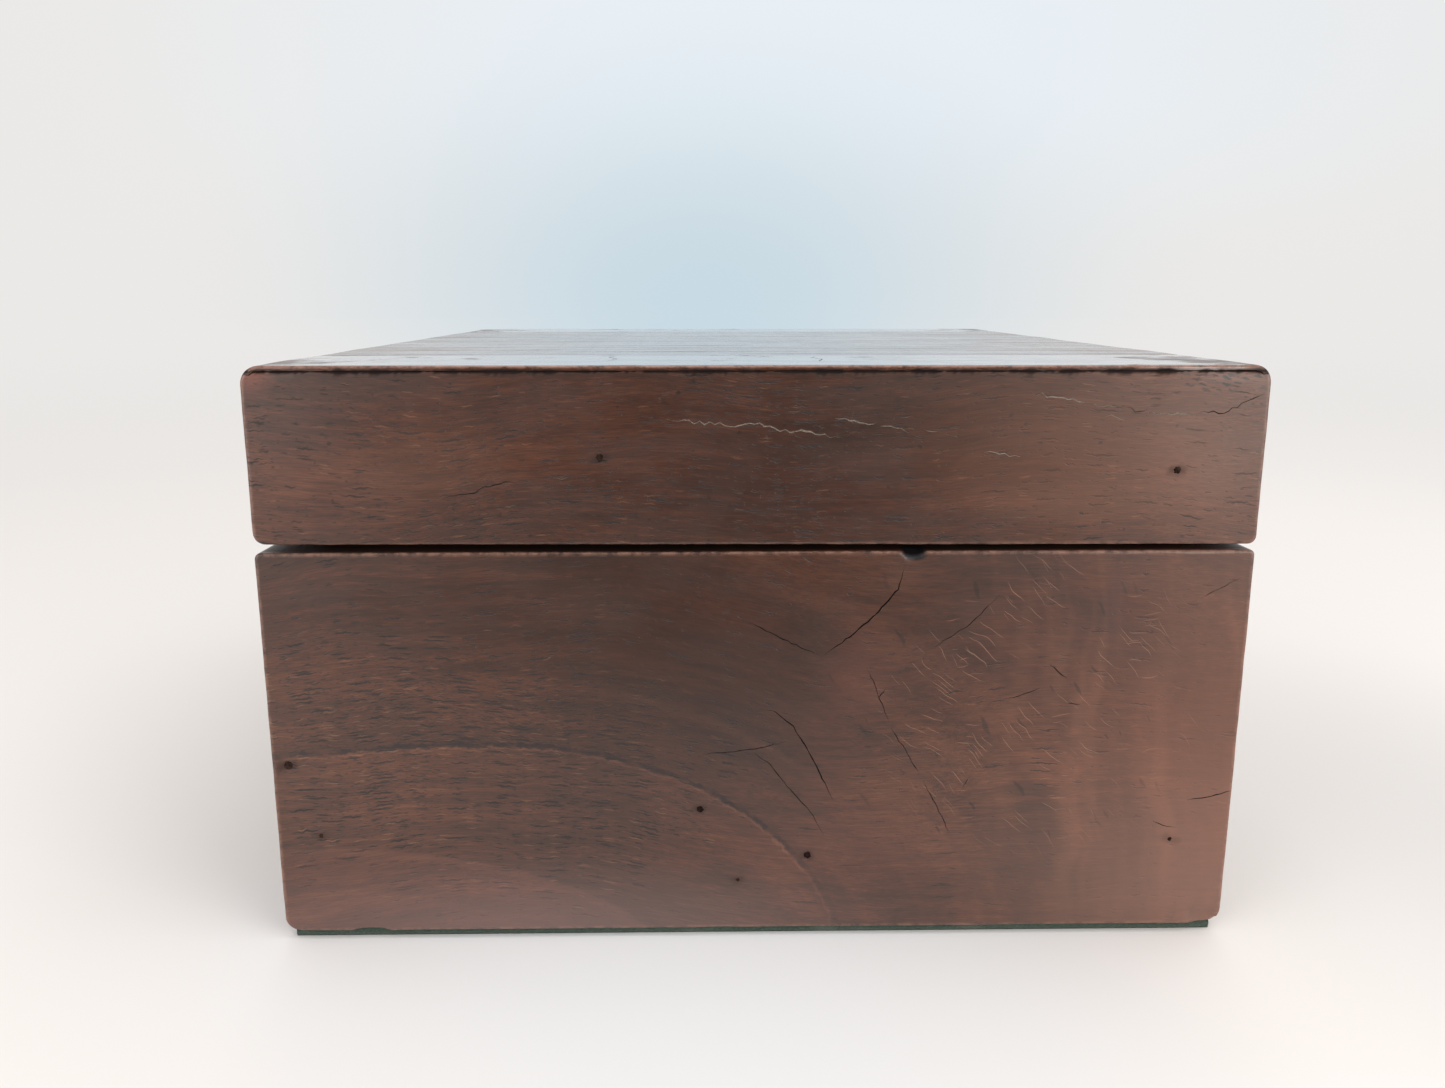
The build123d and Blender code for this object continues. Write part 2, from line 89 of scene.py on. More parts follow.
WALL_Y = SIDE_Y - (box_mm("body_front")[1][1] - box_mm("body_front")[0][1])
LID_WALL_Y = SIDE_Y - (box_mm("lid_front")[1][1] - box_mm("lid_front")[0][1])
TOP_SIDE_WIDTH = 34.0                         # of the boards at the left and right of the lid top
TOP_JOINT_X = box_mm("lid_top_right_board")[1][0] - TOP_SIDE_WIDTH
LAP_X, LAP_Y = LID_FRONT_END_X, SIDE_Y - 3.5  # beyond these the top is only its thin edge

BODY_RADII = {(-1, -1): 2.4, (1, -1): 3.0, (1, 1): 1.2, (-1, 1): 1.1}   # by side of y and z
LID_RADII = {(-1, -1): 2.0, (1, -1): 1.6, (1, 1): 3.0, (-1, 1): 3.3}
ARRIS_R = 0.55
HAIRLINE_WIDTH = 0.25
TOUCHING = 0.01             # grid points this near a face lie on it

PIN_R = 0.78
PIN_HOLE = 7.2              # depth
PIN_SIDES = 18
SKIN = 0.12                 # wood left over the rim of a pin head
HIDDEN_PINS = ((-80.0, 21.0), (-3.4, 11.5), (77.0, 19.0))
BODY_PINS = ((-85.0, 34.7), (-80.0, 21.0), (-10.4, 25.7), (9.5, 16.4), (-3.4, 11.5), (77.0, 19.0))
LID_PINS = ((-27.4, 90.8), (72.8, 88.4))


# ---- node trees
def srgb(red, green, blue):
    """A linear colour from the usual 0 to 255 values."""
    def linear(value):
        value /= 255
        return value / 12.92 if value <= 0.04045 else ((value + 0.055) / 1.055) ** 2.4
    return (linear(red), linear(green), linear(blue), 1.0)


class Tree:
    """Shorthand for building a node tree. A value may be a number, a tuple or a socket."""

    def __init__(self, tree):
        self.tree = tree
        tree.nodes.clear()

    def node(self, kind, inputs=None, **settings):
        made = self.tree.nodes.new(kind)
        for key, value in settings.items():
            setattr(made, key, value)
        for key, value in (inputs or {}).items():
            self.feed(made.inputs[key], value)
        return made

    def feed(self, socket, value):
        if isinstance(value, bpy.types.NodeSocket):
            self.tree.links.new(value, socket)
        elif value is not None:
            socket.default_value = value

    def math(self, operation, a, b=None, clamp=False):
        inputs = {0: a} if b is None else {0: a, 1: b}
        return self.node("ShaderNodeMath", inputs, operation=operation, use_clamp=clamp).outputs[0]

    plus = partialmethod(math, "ADD")
    minus = partialmethod(math, "SUBTRACT")
    times = partialmethod(math, "MULTIPLY")
    over = partialmethod(math, "DIVIDE")
    larger = partialmethod(math, "MAXIMUM")
    smaller = partialmethod(math, "MINIMUM")
    absolute = partialmethod(math, "ABSOLUTE")

    def vector(self, operation, a, b=None, scale=None):
        inputs = {0: a}
        if b is not None:
            inputs[1] = b
        if scale is not None:
            inputs["Scale"] = scale
        return self.node("ShaderNodeVectorMath", inputs, operation=operation).outputs[0]

    shift = partialmethod(vector, "ADD")
    stretch = partialmethod(vector, "MULTIPLY")
    unit = partialmethod(vector, "NORMALIZE")

    def scale(self, a, factor):
        return self.vector("SCALE", a, scale=factor)

    def turn(self, a, degrees):
        """A vector turned about X."""
        inputs = {"Vector": a, "Angle": math.radians(degrees)}
        return self.node("ShaderNodeVectorRotate", inputs, rotation_type="X_AXIS").outputs[0]

    def length(self, a):
        return self.node("ShaderNodeVectorMath", {0: a}, operation="LENGTH").outputs["Value"]

    def mix(self, factor, a, b):
        return self.node("ShaderNodeMix", {0: factor, 6: a, 7: b}, data_type="RGBA").outputs[2]

    def smooth(self, value, low, high, to_low=0.0, to_high=1.0):
        inputs = {"Value": value, "From Min": low, "From Max": high,
                  "To Min": to_low, "To Max": to_high}
        return self.node("ShaderNodeMapRange", inputs, interpolation_type="SMOOTHSTEP").outputs[0]

    def fall(self, value, low, high):
        """1 below low, falling smoothly to 0 at high."""
        return self.smooth(value, low, high, 1.0, 0.0)

    def ramp(self, value, stops):
        made = self.node("ShaderNodeValToRGB", {0: value})
        elements = made.color_ramp.elements
        while len(elements) < len(stops):
            elements.new(0.5)
        for element, (place, colour) in zip(elements, stops):
            element.position = place
            element.color = colour
        return made.outputs[0]

    def noise(self, vector, scale=1.0, detail=3.0, roughness=0.5, colour=False):
        inputs = {"Vector": vector, "Scale": scale, "Detail": detail, "Roughness": roughness}
        made = self.node("ShaderNodeTexNoise", inputs)
        return made.outputs[1] if colour else made.outputs[0]

    def waver(self, amount, *noise):
        """Noise to either side of 0. The values after amount are those of noise."""
        return self.times(self.minus(self.noise(*noise), 0.5), amount)

    def drift(self, amount, *noise):
        """A random push, to bend lines with."""
        return self.scale(self.noise(*noise, colour=True), amount)

    def cells(self, vector):
        inputs = {"Vector": vector, "Scale": 1.0}
        made = self.node("ShaderNodeTexVoronoi", inputs, voronoi_dimensions="2D")
        return made.outputs["Distance"], made.outputs["Color"]

    def split(self, vector):
        return self.node("ShaderNodeSeparateXYZ", {0: vector}).outputs

    def join(self, x, y, z):
        return self.node("ShaderNodeCombineXYZ", {0: x, 1: y, 2: z}).outputs[0]

    def attribute(self, name):
        return self.node("ShaderNodeAttribute", attribute_name=name).outputs["Fac"]

    def place(self):
        """Coordinates in the object, in millimetres."""
        return self.scale(self.node("ShaderNodeTexCoord").outputs["Object"], 1 / MM)

    def shader(self, kind, colour):
        return self.node("ShaderNode" + kind, {"Color": colour}).outputs[0]

    def mix_shader(self, factor, a, b):
        return self.node("ShaderNodeMixShader", {0: factor, 1: a, 2: b}).outputs[0]

    def seen(self, shown, unseen):
        """One shader for what the camera sees, and another for every other ray."""
        camera_ray = self.node("ShaderNodeLightPath").outputs["Is Camera Ray"]
        return self.mix_shader(camera_ray, unseen, shown)


def new_material(name):
    material = bpy.data.materials.new(name)
    material.use_nodes = True
    return material, Tree(material.node_tree)


def surface(t, colour, roughness, height=None, bump_mm=0.1, strength=1.0, **sockets):
    """Principled shader with a bump, wired to the material's output."""
    shader = t.node("ShaderNodeBsdfPrincipled", {"Base Color": colour, "Roughness": roughness})
    for name, value in sockets.items():
        t.feed(shader.inputs[name.replace("_", " ")], value)
    if height is not None:
        inputs = {"Height": height, "Distance": bump_mm * MM, "Strength": strength}
        t.feed(shader.inputs["Normal"], t.node("ShaderNodeBump", inputs).outputs[0])
    t.node("ShaderNodeOutputMaterial", {0: shader.outputs[0]})


# ---- wood
DARK = srgb(40, 24, 17)
MID = srgb(67, 39, 27)
WARM = srgb(98, 58, 40)
LIGHT = srgb(132, 84, 58)
PORE = srgb(20, 14, 13)
FLECK = srgb(140, 98, 70)
RUBBED = srgb(168, 124, 104)
DIRT_AND_PAINTED_SHADE = srgb(17, 14, 15)
GRAIN = {"X": (1, 0, 0), "Y": (0, 1, 0), "Z": (0, 0, 1)}


def stretched(t, place, grain, along, across):
    """Coordinates in which a feature that is along by across millimetres is one unit each way."""
    axis = GRAIN[grain]
    return t.stretch(place, tuple(a / along + (1 - a) / across for a in axis))


def dashes(t, sheet, along, across, size, share, seed):
    """Short strokes on a sheet whose first coordinate runs along the grain, in a share of its cells:
    1 on a stroke and 0 off it."""
    moved = t.shift(sheet, (seed, 1.7 * seed, 0.0))
    distance, colour = t.cells(t.stretch(moved, (1 / along, 1 / across, 0.0)))
    red, green, _ = t.split(colour)
    size = t.times(size, t.smooth(green, 0.0, 1.0, 0.5, 1.3))
    stroke = t.fall(t.over(distance, size), 0.5, 1.0)
    chosen = t.fall(red, t.minus(share, 0.05), share)
    return t.times(stroke, chosen)


def face_sheet(t, place, face):
    """The two coordinates of a board's broad face, drawn out over its edges as well."""
    axes = dict(zip("XYZ", t.split(place)))
    third = axes[next(axis for axis in "XYZ" if axis not in face)]
    return t.join(axes[face[0]], t.plus(axes[face[1]], third), 0.0)


def ring_field(t, u, v, centre, radii):
    """Growth rings as nested half ellipses: 1 on the ellipse with these radii, which are
    (towards low u, towards high u, up)."""
    du = t.minus(u, centre[0])
    dv = t.over(t.minus(v, centre[1]), radii[2])
    low = t.over(t.smaller(du, 0.0), radii[0])
    high = t.over(t.larger(du, 0.0), radii[1])
    across = t.plus(low, high)
    return t.length(t.join(across, dv, 0.0))


def spot(t, u, v, centre, radii, soft=1.0):
    """1 in the middle of an ellipse, falling smoothly to 0 at its edge."""
    du = t.over(t.minus(u, centre[0]), radii[0])
    dv = t.over(t.minus(v, centre[1]), radii[1])
    return t.fall(t.length(t.join(du, dv, 0.0)), 1.0 - soft, 1.0)


def blend(t, colour, tint, *masks):
    """Mixes in a tint by the product of the masks."""
    factor = masks[0]
    for mask in masks[1:]:
        factor = t.times(factor, mask)
    return t.mix(factor, colour, tint)


def stains_and_painted_light(t, u, v, colour, rows):
    """Mixes in soft ellipses. Each row is a centre, radii, an amount and a tint."""
    for centre, radii, amount, tint in rows:
        colour = blend(t, colour, srgb(*tint), spot(t, u, v, centre, radii), amount)
    return colour


def wood(name, grain, face, centre, radii, seed, tone=0.0, pores=0.45, gloss=0.42, coat=(0.38, 0.30),
         relief=0.5, details=None):
    """Old polished mahogany. face names the two axes of the board's broad face, and centre and radii
    place its growth rings on that face."""
    details = details or {}
    material, t = new_material(name)
    place = t.place()
    axes = dict(zip("XYZ", t.split(place)))
    u, v = axes[face[0]], axes[face[1]]

    swirl = t.noise(t.shift(place, seed), 0.018, 2, colour=True)
    swirl = t.vector("SUBTRACT", swirl, (0.5, 0.5, 0.5))
    bent = t.shift(place, t.scale(swirl, 9.0))
    if "flow" in details:
        bent = t.shift(bent, details["flow"](t, u, v))
    moved = t.shift(bent, seed)

    ring = t.plus(ring_field(t, u, v, centre, radii), t.times(t.split(swirl)[0], 0.16))
    bands = t.join(t.times(ring, 9.0), t.times(u, 0.006), seed[0])
    bands = t.noise(bands, 1.0, 3, 0.55)
    patches = t.noise(stretched(t, moved, grain, 55.0, 26.0), 1.0, 3, 0.5)
    streaks = t.noise(stretched(t, moved, grain, 22.0, 1.1), 1.0, 4, 0.6)
    fibres = t.noise(stretched(t, moved, grain, 4.0, 0.16), 1.0, 3, 0.65)
    value = t.times(patches, 0.24)
    for part, weight in ((bands, 0.20), (streaks, 0.22), (fibres, 0.34)):
        value = t.plus(value, t.times(part, weight))
    value = t.plus(value, tone)
    colour = t.ramp(value, [(0.38, DARK), (0.49, MID), (0.60, WARM), (0.73, LIGHT)])

    thick = t.noise(t.shift(moved, (40, 9, 5)), 0.06, 2, 0.6)
    share = t.times(t.smooth(thick, 0.35, 0.65, 0.3, 1.0), pores)
    if "pores" in details:
        share = t.times(share, details["pores"](t, u, v))
    sheet = face_sheet(t, t.shift(moved, t.drift(0.6, place, 0.8, 3)), face)
    long_pores = dashes(t, sheet, 8.5, 0.72, 0.27, share, 3.1)
    short_pores = dashes(t, sheet, 3.6, 0.55, 0.27, share, 9.4)
    specks = dashes(t, sheet, 1.5, 0.5, 0.24, share, 1.4)
    pore = t.larger(long_pores, t.times(short_pores, 0.8))
    pore = t.larger(pore, t.times(specks, 0.6))
    colour = t.mix(t.times(pore, 0.84), colour, PORE)
    flecks = dashes(t, sheet, 5.0, 0.5, 0.24, t.times(share, 0.45), 5.0)
    colour = t.mix(t.times(flecks, 0.34), colour, FLECK)

    height = t.minus(t.times(fibres, 0.3), pore)
    if "colour" in details:
        colour, height = details["colour"](t, place, u, v, colour, height)

    edge = t.attribute("wear")
    ragged = t.smooth(t.noise(place, 0.55, 4, 0.7), 0.36, 0.62)
    colour = blend(t, colour, RUBBED, edge, ragged, 0.5)
    # Darker by the point attribute: stains, dirt in joints, darkening by the baize, and painted shade in the
    # gap between body and lid and in the chip.
    colour = t.mix(t.times(t.attribute("dirt_and_painted_shade"), 0.88), colour, DIRT_AND_PAINTED_SHADE)
    smear = t.noise(stretched(t, place, grain, 16.0, 7.0), 1.0, 3, 0.6)
    roughness = t.smooth(smear, 0.3, 0.7, gloss - 0.05, gloss + 0.07)
    roughness = t.plus(roughness, t.times(pore, 0.25))
    orange_peel = t.times(t.noise(place, 0.35, 2), 0.5)
    height = t.plus(height, orange_peel)
    clean_and_unshaded = t.minus(1.0, t.attribute("dirt_and_painted_shade"), clamp=True)
    if "shine" in details:
        clean_and_unshaded = t.times(clean_and_unshaded, details["shine"](t, place, u, v))
    roughness = t.plus(roughness, t.times(t.minus(1.0, clean_and_unshaded), 0.35))
    surface(t, colour, roughness, height, 0.1, relief, Coat_Weight=t.times(clean_and_unshaded, coat[0]),
            Coat_Roughness=coat[1], Specular_IOR_Level=t.smooth(clean_and_unshaded, 0.0, 1.0, 0.15, 0.5))
    return material


# ---- figure of the two end boards
# Soft ellipses on the end: most are stains, but the big dark ones about the middle and top also paint shade
# there, and the pale ones low down paint sheen and the floor's reflection.
BODY_END_STAINS_AND_PAINTED_LIGHT = (
    ((4.0, 42.0), (34.0, 30.0), 0.30, (42, 25, 20)),
    # darker wood, deepened as painted shade over the middle
    ((-8.0, 54.0), (74.0, 42.0), 0.52, (39, 21, 14)),
    ((-30.0, 66.0), (48.0, 18.0), 0.26, (48, 27, 18)),
    ((36.0, 60.0), (12.0, 18.0), 0.22, (46, 30, 26)),
    ((18.0, 52.0), (10.0, 12.0), 0.22, (112, 66, 52)),
    ((63.0, 65.0), (3.6, 12.0), 0.60, (48, 32, 29)),
    ((40.0, 66.0), (22.0, 26.0), 0.26, (52, 33, 27)),
    ((84.0, 40.0), (32.0, 62.0), 0.26, (154, 94, 68)),
    ((-78.0, 66.0), (10.0, 4.0), 0.30, (58, 40, 38)),
    ((20.0, 18.0), (34.0, 12.0), 0.16, (118, 74, 60)),
    # painted sheen at the bottom right
    ((88.0, 4.0), (70.0, 46.0), 0.36, (158, 116, 100)),
    ((-22.0, 52.0), (24.0, 24.0), 0.28, (36, 19, 12)),
    ((58.0, 50.0), (34.0, 34.0), 0.16, (112, 62, 44)),
    # painted reflection of the pale floor along the bottom
    ((-40.0, 0.0), (90.0, 20.0), 0.30, (150, 126, 122)),
)


def body_end_pores(t, u, v):
    """Most of the open pores are on the front half of the end board, about the growth ring."""
    about_ring = spot(t, u, v, (-50.0, 38.0), (62.0, 40.0), 0.8)
    return t.plus(t.times(about_ring, 1.25), 0.16)


def body_end_flow(t, u, v):
    """The grain rises and falls with the growth ring."""
    hump = t.smooth(t.absolute(t.plus(u, 50.0)), 0.0, 75.0, -9.0, 0.0)
    return t.join(0.0, 0.0, hump)


def body_end_details(t, place, u, v, colour, height):
    """Rings, stained patches with painted shade and painted sheen among them, a ripple in the figure, crazed
    polish and the chip darkened as painted shade, as on the photographed end.
    """
    ring = ring_field(t, u, v, (-48.0, -10.0), (150.0, 65.0, 48.0))
    wander = t.waver(0.05, place, 0.05, 3)
    jitter = t.waver(0.03, place, 0.6, 3, 0.6)
    ring = t.plus(t.plus(ring, wander), jitter)

    def band(field, start, full, fade, end):
        """1 from full to fade across a field of rings, and 0 outside start and end."""
        return t.times(t.smooth(field, start, full), t.fall(field, fade, end))

    broken = t.smooth(t.noise(place, 0.25, 3, 0.7), 0.36, 0.58, 0.25, 1.0)
    fading = t.smooth(u, 4.0, 16.0, 1.0, 0.25)
    colour = blend(t, colour, srgb(122, 80, 62), band(ring, 0.80, 0.99, 0.99, 1.0), fading, 0.05)
    colour = blend(t, colour, srgb(34, 21, 20), band(ring, 1.0, 1.01, 1.01, 1.08), fading, 0.13)
    for edges, tint, amount in (
        ((0.995, 1.001, 1.011, 1.017), srgb(30, 18, 18), 0.88),
        ((0.983, 0.989, 0.99, 0.996), srgb(158, 108, 84), 0.18),
    ):
        colour = blend(t, colour, tint, band(ring, *edges), broken, fading, amount)
    outer = t.times(fading, t.smooth(u, -55.0, -12.0))
    for edges, tint, amount in (
        ((1.223, 1.247, 1.25, 1.274), srgb(128, 82, 66), 0.16),
        ((1.253, 1.277, 1.288, 1.312), DARK, 0.20),
        ((1.388, 1.412, 1.413, 1.437), srgb(124, 80, 62), 0.12),
        ((1.418, 1.442, 1.458, 1.482), DARK, 0.16),
    ):
        colour = blend(t, colour, tint, band(ring, *edges), outer, amount)

    low_ring = ring_field(t, u, v, (-80.0, -10.0), (160.0, 65.0, 28.0))
    low_ring = t.plus(t.plus(low_ring, wander), jitter)
    colour = blend(t, colour, srgb(124, 78, 66), t.fall(low_ring, 0.90, 1.01), 0.13)
    colour = blend(t, colour, srgb(140, 92, 76), band(low_ring, 0.93, 0.99, 1.0, 1.02), 0.12)
    colour = blend(t, colour, DARK, band(low_ring, 0.70, 0.74, 0.76, 0.82), 0.18)

    colour = stains_and_painted_light(t, u, v, colour, BODY_END_STAINS_AND_PAINTED_LIGHT)

    leaning = t.plus(u, t.waver(16.0, place, 0.03, 2))
    curl = t.noise(t.join(t.times(leaning, 0.15), t.times(v, 0.014), 4.0), 1.0, 2)
    back_half = t.smooth(u, 30.0, 62.0)
    colour = blend(t, colour, srgb(150, 100, 76), t.smooth(curl, 0.48, 0.70), back_half, 0.16)
    colour = blend(t, colour, srgb(60, 39, 32), t.fall(curl, 0.32, 0.5), back_half, 0.16)

    zone = spot(t, u, v, (50.0, 46.0), (40.0, 38.0), 0.6)
    bend = t.drift(2.6, place, 0.12, 2)
    for angle, along, across, share, seed in (
        (34.0, 24.0, 0.8, 0.45, 2.0), (50.0, 22.0, 0.8, 0.42, 5.0), (-4.0, 16.0, 0.9, 0.28, 8.0),
    ):
        twist = t.turn(t.shift(place, bend), angle)
        threads = dashes(t, face_sheet(t, twist, "YZ"), along, across, 0.10, share, seed)
        colour = blend(t, colour, srgb(158, 108, 80), threads, zone, 0.36)
        height = t.plus(height, t.times(t.times(threads, zone), 0.5))
    twist = t.turn(t.shift(place, bend), 60)
    veins = dashes(t, face_sheet(t, twist, "YZ"), 12.0, 2.6, 0.14, 0.3, 4.0)
    colour = blend(t, colour, PORE, veins, spot(t, u, v, (44.0, 46.0), (44.0, 40.0), 0.5), 0.5)

    # Painted shade: the chip in the top edge is made near black.
    colour = blend(t, colour, srgb(13, 13, 16), spot(t, u, v, (27.3, 73.7), (2.6, 1.5), 0.4))
    return colour, height


LID_END_STAINS = (
    ((4.0, 88.0), (36.0, 20.0), 0.40, (46, 29, 25)),
    ((-26.0, 92.0), (28.0, 24.0), 0.26, (42, 26, 22)),
    ((-60.0, 90.0), (22.0, 9.0), 0.20, (116, 76, 56)),
    ((-78.0, 96.0), (10.0, 12.0), 0.26, (62, 44, 40)),
    ((56.0, 83.0), (30.0, 6.0), 0.20, (128, 84, 58)),
    ((28.0, 80.0), (34.0, 4.0), 0.25, (48, 31, 26)),
    ((78.0, 90.0), (18.0, 18.0), 0.20, (140, 98, 78)),
    ((56.0, 93.0), (42.0, 18.0), 0.24, (132, 82, 54)),
    ((-87.0, 105.0), (6.0, 5.0), 0.35, (150, 86, 70)),
)


def lid_end_pores(t, u, v):
    """Fewer open pores on the back half."""
    return t.smooth(u, -20.0, 30.0, 1.0, 0.55)


def lid_end_details(t, place, u, v, colour, height):
    """Stains, torn grain below the back end of the lap, and dark flecks."""
    colour = stains_and_painted_light(t, u, v, colour, LID_END_STAINS)
    leaning = t.turn(place, 14)
    leaning = t.shift(leaning, t.drift(0.8, place, 0.7, 2))
    damage = dashes(t, face_sheet(t, leaning, "YZ"), 3.2, 0.9, 0.3, 0.85, 7.0)
    corner = spot(t, u, v, (80.0, 104.0), (12.0, 3.0), 0.6)
    colour = blend(t, colour, srgb(26, 20, 20), damage, corner, 0.9)
    uneven = t.shift(place, t.drift(0.8, place, 1.5, 2))
    spots = dashes(t, face_sheet(t, uneven, "YZ"), 2.6, 1.8, 0.17, 0.10, 6.0)
    colour = blend(t, colour, PORE, spots, 0.6)
    return colour, height


def top_details(t, place, u, v, colour, height):
    """Cracks and raised grain across the middle board of the lid."""
    wavy = t.shift(place, t.drift(5.0, place, 0.05, 2))
    lines = dashes(t, face_sheet(t, wavy, "YX"), 46.0, 3.4, 0.17, 0.7, 12.0)
    colour = blend(t, colour, PORE, lines, 0.8)
    height = t.minus(height, t.times(lines, 3.0))
    dry = t.minus(1.0, top_shine(t, place, u, v))
    outward = t.smooth(t.absolute(u), 20.0, 75.0, 0.15, 0.75)
    colour = blend(t, colour, srgb(150, 120, 98), dry, outward)
    return worn_lap_and_painted_highlight(t, place, colour), height


def top_shine(t, place, u, v):
    """How much polish is left on the middle board of the lid: it has gone in streaks along the grain."""
    streak = t.noise(t.stretch(place, (0.45, 0.018, 0.2)), 1.0, 4, 0.62)
    edge = t.smooth(t.absolute(u), 30.0, 88.0, 0.0, 0.10)
    return t.smooth(t.plus(streak, edge), 0.52, 0.66, 1.0, 0.6)


def worn_lap_and_painted_highlight(t, place, colour):
    """The thin edge of the top shows pale where the polish is rubbed off it; the pale line also stands as a
    painted highlight along the arris.
    """
    _, _, z = t.split(place)
    ragged = t.smooth(t.noise(t.stretch(place, (0.5, 0.5, 1.2)), 1.0, 4, 0.7), 0.40, 0.58)
    return blend(t, colour, srgb(150, 108, 94), t.smooth(z, LAP_Z + 0.35, LAP_Z + 0.6),
                 t.fall(z, HEIGHT - 0.2, HEIGHT - 0.05), ragged, 0.55)


def strip_details(t, place, u, v, colour, height):
    """Only the worn lap with its painted highlight, for the boards at the ends of the top."""
    return worn_lap_and_painted_highlight(t, place, colour), height


def strip_shine(t, place, u, v):
    """The boards at the ends of the top have lost their polish in blotches."""
    edge = t.smooth(t.absolute(u), 60.0, 88.0, 0.0, 0.16)
    return t.smooth(t.plus(t.noise(place, 0.08, 4, 0.6), edge), 0.56, 0.74, 1.0, 0.35)


MAHOGANY_BODY_END = wood(
    "mahogany_body_right_end", "Y", "YZ", (-48.0, -10.0), (130.0, 65.0, 48.0), (11.0, 4.0, 7.0),
    pores=0.8, details={"pores": body_end_pores, "flow": body_end_flow, "colour": body_end_details})
MAHOGANY_LID_END = wood(
    "mahogany_lid_right_end", "Y", "YZ", (-10.0, -160.0), (420.0, 360.0, 240.0), (31.0, 24.0, 3.0),
    pores=0.5, details={"pores": lid_end_pores, "colour": lid_end_details})
MAHOGANY_LEFT_END = wood(
    "mahogany_left_end", "Y", "YZ", (38.0, -24.0), (70.0, 120.0, 52.0), (71.0, 14.0, 27.0), pores=0.5)
MAHOGANY_FRONT = wood(
    "mahogany_front", "X", "XZ", (30.0, -30.0), (190.0, 150.0, 58.0), (5.0, 64.0, 37.0), pores=0.5)
MAHOGANY_BACK = wood(
    "mahogany_back", "X", "XZ", (-50.0, -20.0), (130.0, 210.0, 50.0), (15.0, 84.0, 17.0), pores=0.5)
MAHOGANY_TOP_SIDE = wood(
    "mahogany_top_side", "Y", "YX", (0.0, -40.0), (300.0, 260.0, 110.0), (25.0, 14.0, 57.0), pores=0.3,
    gloss=0.24, coat=(1.0, 0.12), relief=0.25, details={"colour": strip_details, "shine": strip_shine})
MAHOGANY_TOP = wood(
    "mahogany_top_middle", "Y", "YX", (20.0, -60.0), (150.0, 210.0, 70.0), (45.0, 34.0, 77.0), pores=0.6,
    gloss=0.28, coat=(0.9, 0.15), relief=0.4, details={"colour": top_details, "shine": top_shine})
INNER_WOOD = wood(
    "inner_mahogany", "X", "XY", (0.0, -300.0), (400.0, 300.0, 260.0), (55.0, 44.0, 7.0), tone=0.05,
    pores=0.4, gloss=0.5)
INNER_WOOD_Y = wood(
    "inner_mahogany_cross", "Y", "YX", (0.0, -300.0), (400.0, 300.0, 260.0), (65.0, 4.0, 47.0), tone=0.05,
    pores=0.4, gloss=0.5)


def crack_material(name, colour, roughness):
    material, t = new_material(name)
    place = t.place()
    grain = t.noise(place, 2.5, 3, 0.6)
    darker = tuple(0.55 * c for c in colour[:3]) + (1.0,)
    surface(t, t.mix(t.smooth(grain, 0.35, 0.65), darker, colour), roughness)
    return material


# The dark grooves and pin holes are coloured near black: dirt and painted shade inside them.
CRACK_DARK = crack_material("crack_dirt_and_painted_shade", srgb(24, 18, 18), 0.8)
CRACK_PALE = crack_material("crack_dried_polish", srgb(178, 168, 156), 0.6)
BARE_WOOD = crack_material("cut_wood", srgb(58, 38, 30), 0.7)


# ---- meshes of the boards
FINE = (0.0, 0.12, 0.26, 0.42, 0.62, 0.88, 1.2, 1.7, 2.4, 3.2, 4.3)   # distances from an outer edge
SEEN_STEP, END_STEP, TOP_STEP, SIDE_STEP, LONG_STEP = 0.6, 1.0, 1.2, 1.4, 1.6     # grid spacings
CORE_STEP = 2.0             # through the thickness of a long board
END_CORE_STEP = 2.5         # and of an end board


def ticks(low, high, step, fine_low=False, fine_high=False, extra=()):
    """Places of a board's grid lines along one axis, closer together near the outer edges."""
    start = low + FINE[-1] if fine_low else low
    stop = high - FINE[-1] if fine_high else high
    count = max(1, round((stop - start) / step))
    places = list(np.linspace(start, stop, count + 1))
    if fine_low:
        places += [low + f for f in FINE[:-1]]
    if fine_high:
        places += [high - f for f in FINE[:-1]]
    return np.array(sorted(set(np.round(places + list(extra), 5))))


def grid_solid(xs, ys, zs, absent=None):
    """Points and faces of a closed solid: the cells between grid lines, less the absent ones."""
    middles = [(line[1:] + line[:-1]) / 2 for line in (xs, ys, zs)]
    cells = np.ones([len(m) for m in middles], bool)
    if absent is not None:
        cells &= ~absent(*np.meshgrid(*middles, indexing="ij"))
    padded = np.pad(cells, 1)
    shape = (len(xs), len(ys), len(zs))
    number = np.arange(np.prod(shape)).reshape(shape)
    faces = []
    for axis in range(3):
        before = np.moveaxis(padded, axis, 0)[:-1, 1:-1, 1:-1]
        after = np.moveaxis(padded, axis, 0)[1:, 1:-1, 1:-1]
        nodes = np.moveaxis(number, axis, 0)
        corners = (nodes[:, :-1, :-1], nodes[:, 1:, :-1], nodes[:, 1:, 1:], nodes[:, :-1, 1:])
        corners = np.stack(corners, axis=-1)
        if axis == 1:
            corners = corners[..., ::-1]
        faces += [corners[before & ~after], corners[after & ~before][:, ::-1]]
    faces = np.concatenate(faces)
    used, faces = np.unique(faces, return_inverse=True)
    i, j, k = np.unravel_index(used, shape)
    return np.stack((xs[i], ys[j], zs[k]), axis=1), faces.reshape(-1, 4)


def ripple(a, b, seed, length):
    """Smooth random waves, about -1 to 1, over two coordinates. length is theirs in millimetres."""
    rng = np.random.default_rng(seed)
    turn = 2 * math.pi
    total = np.zeros_like(a, dtype=float)
    for _ in range(7):
        angle, phase, stretch = rng.uniform(0, turn), rng.uniform(0, turn), rng.uniform(0.6, 1.7)
        along = a * math.cos(angle) + b * math.sin(angle)
        total += np.sin(along * 2 * math.pi / (length * stretch) + phase)
    return total / 4.5


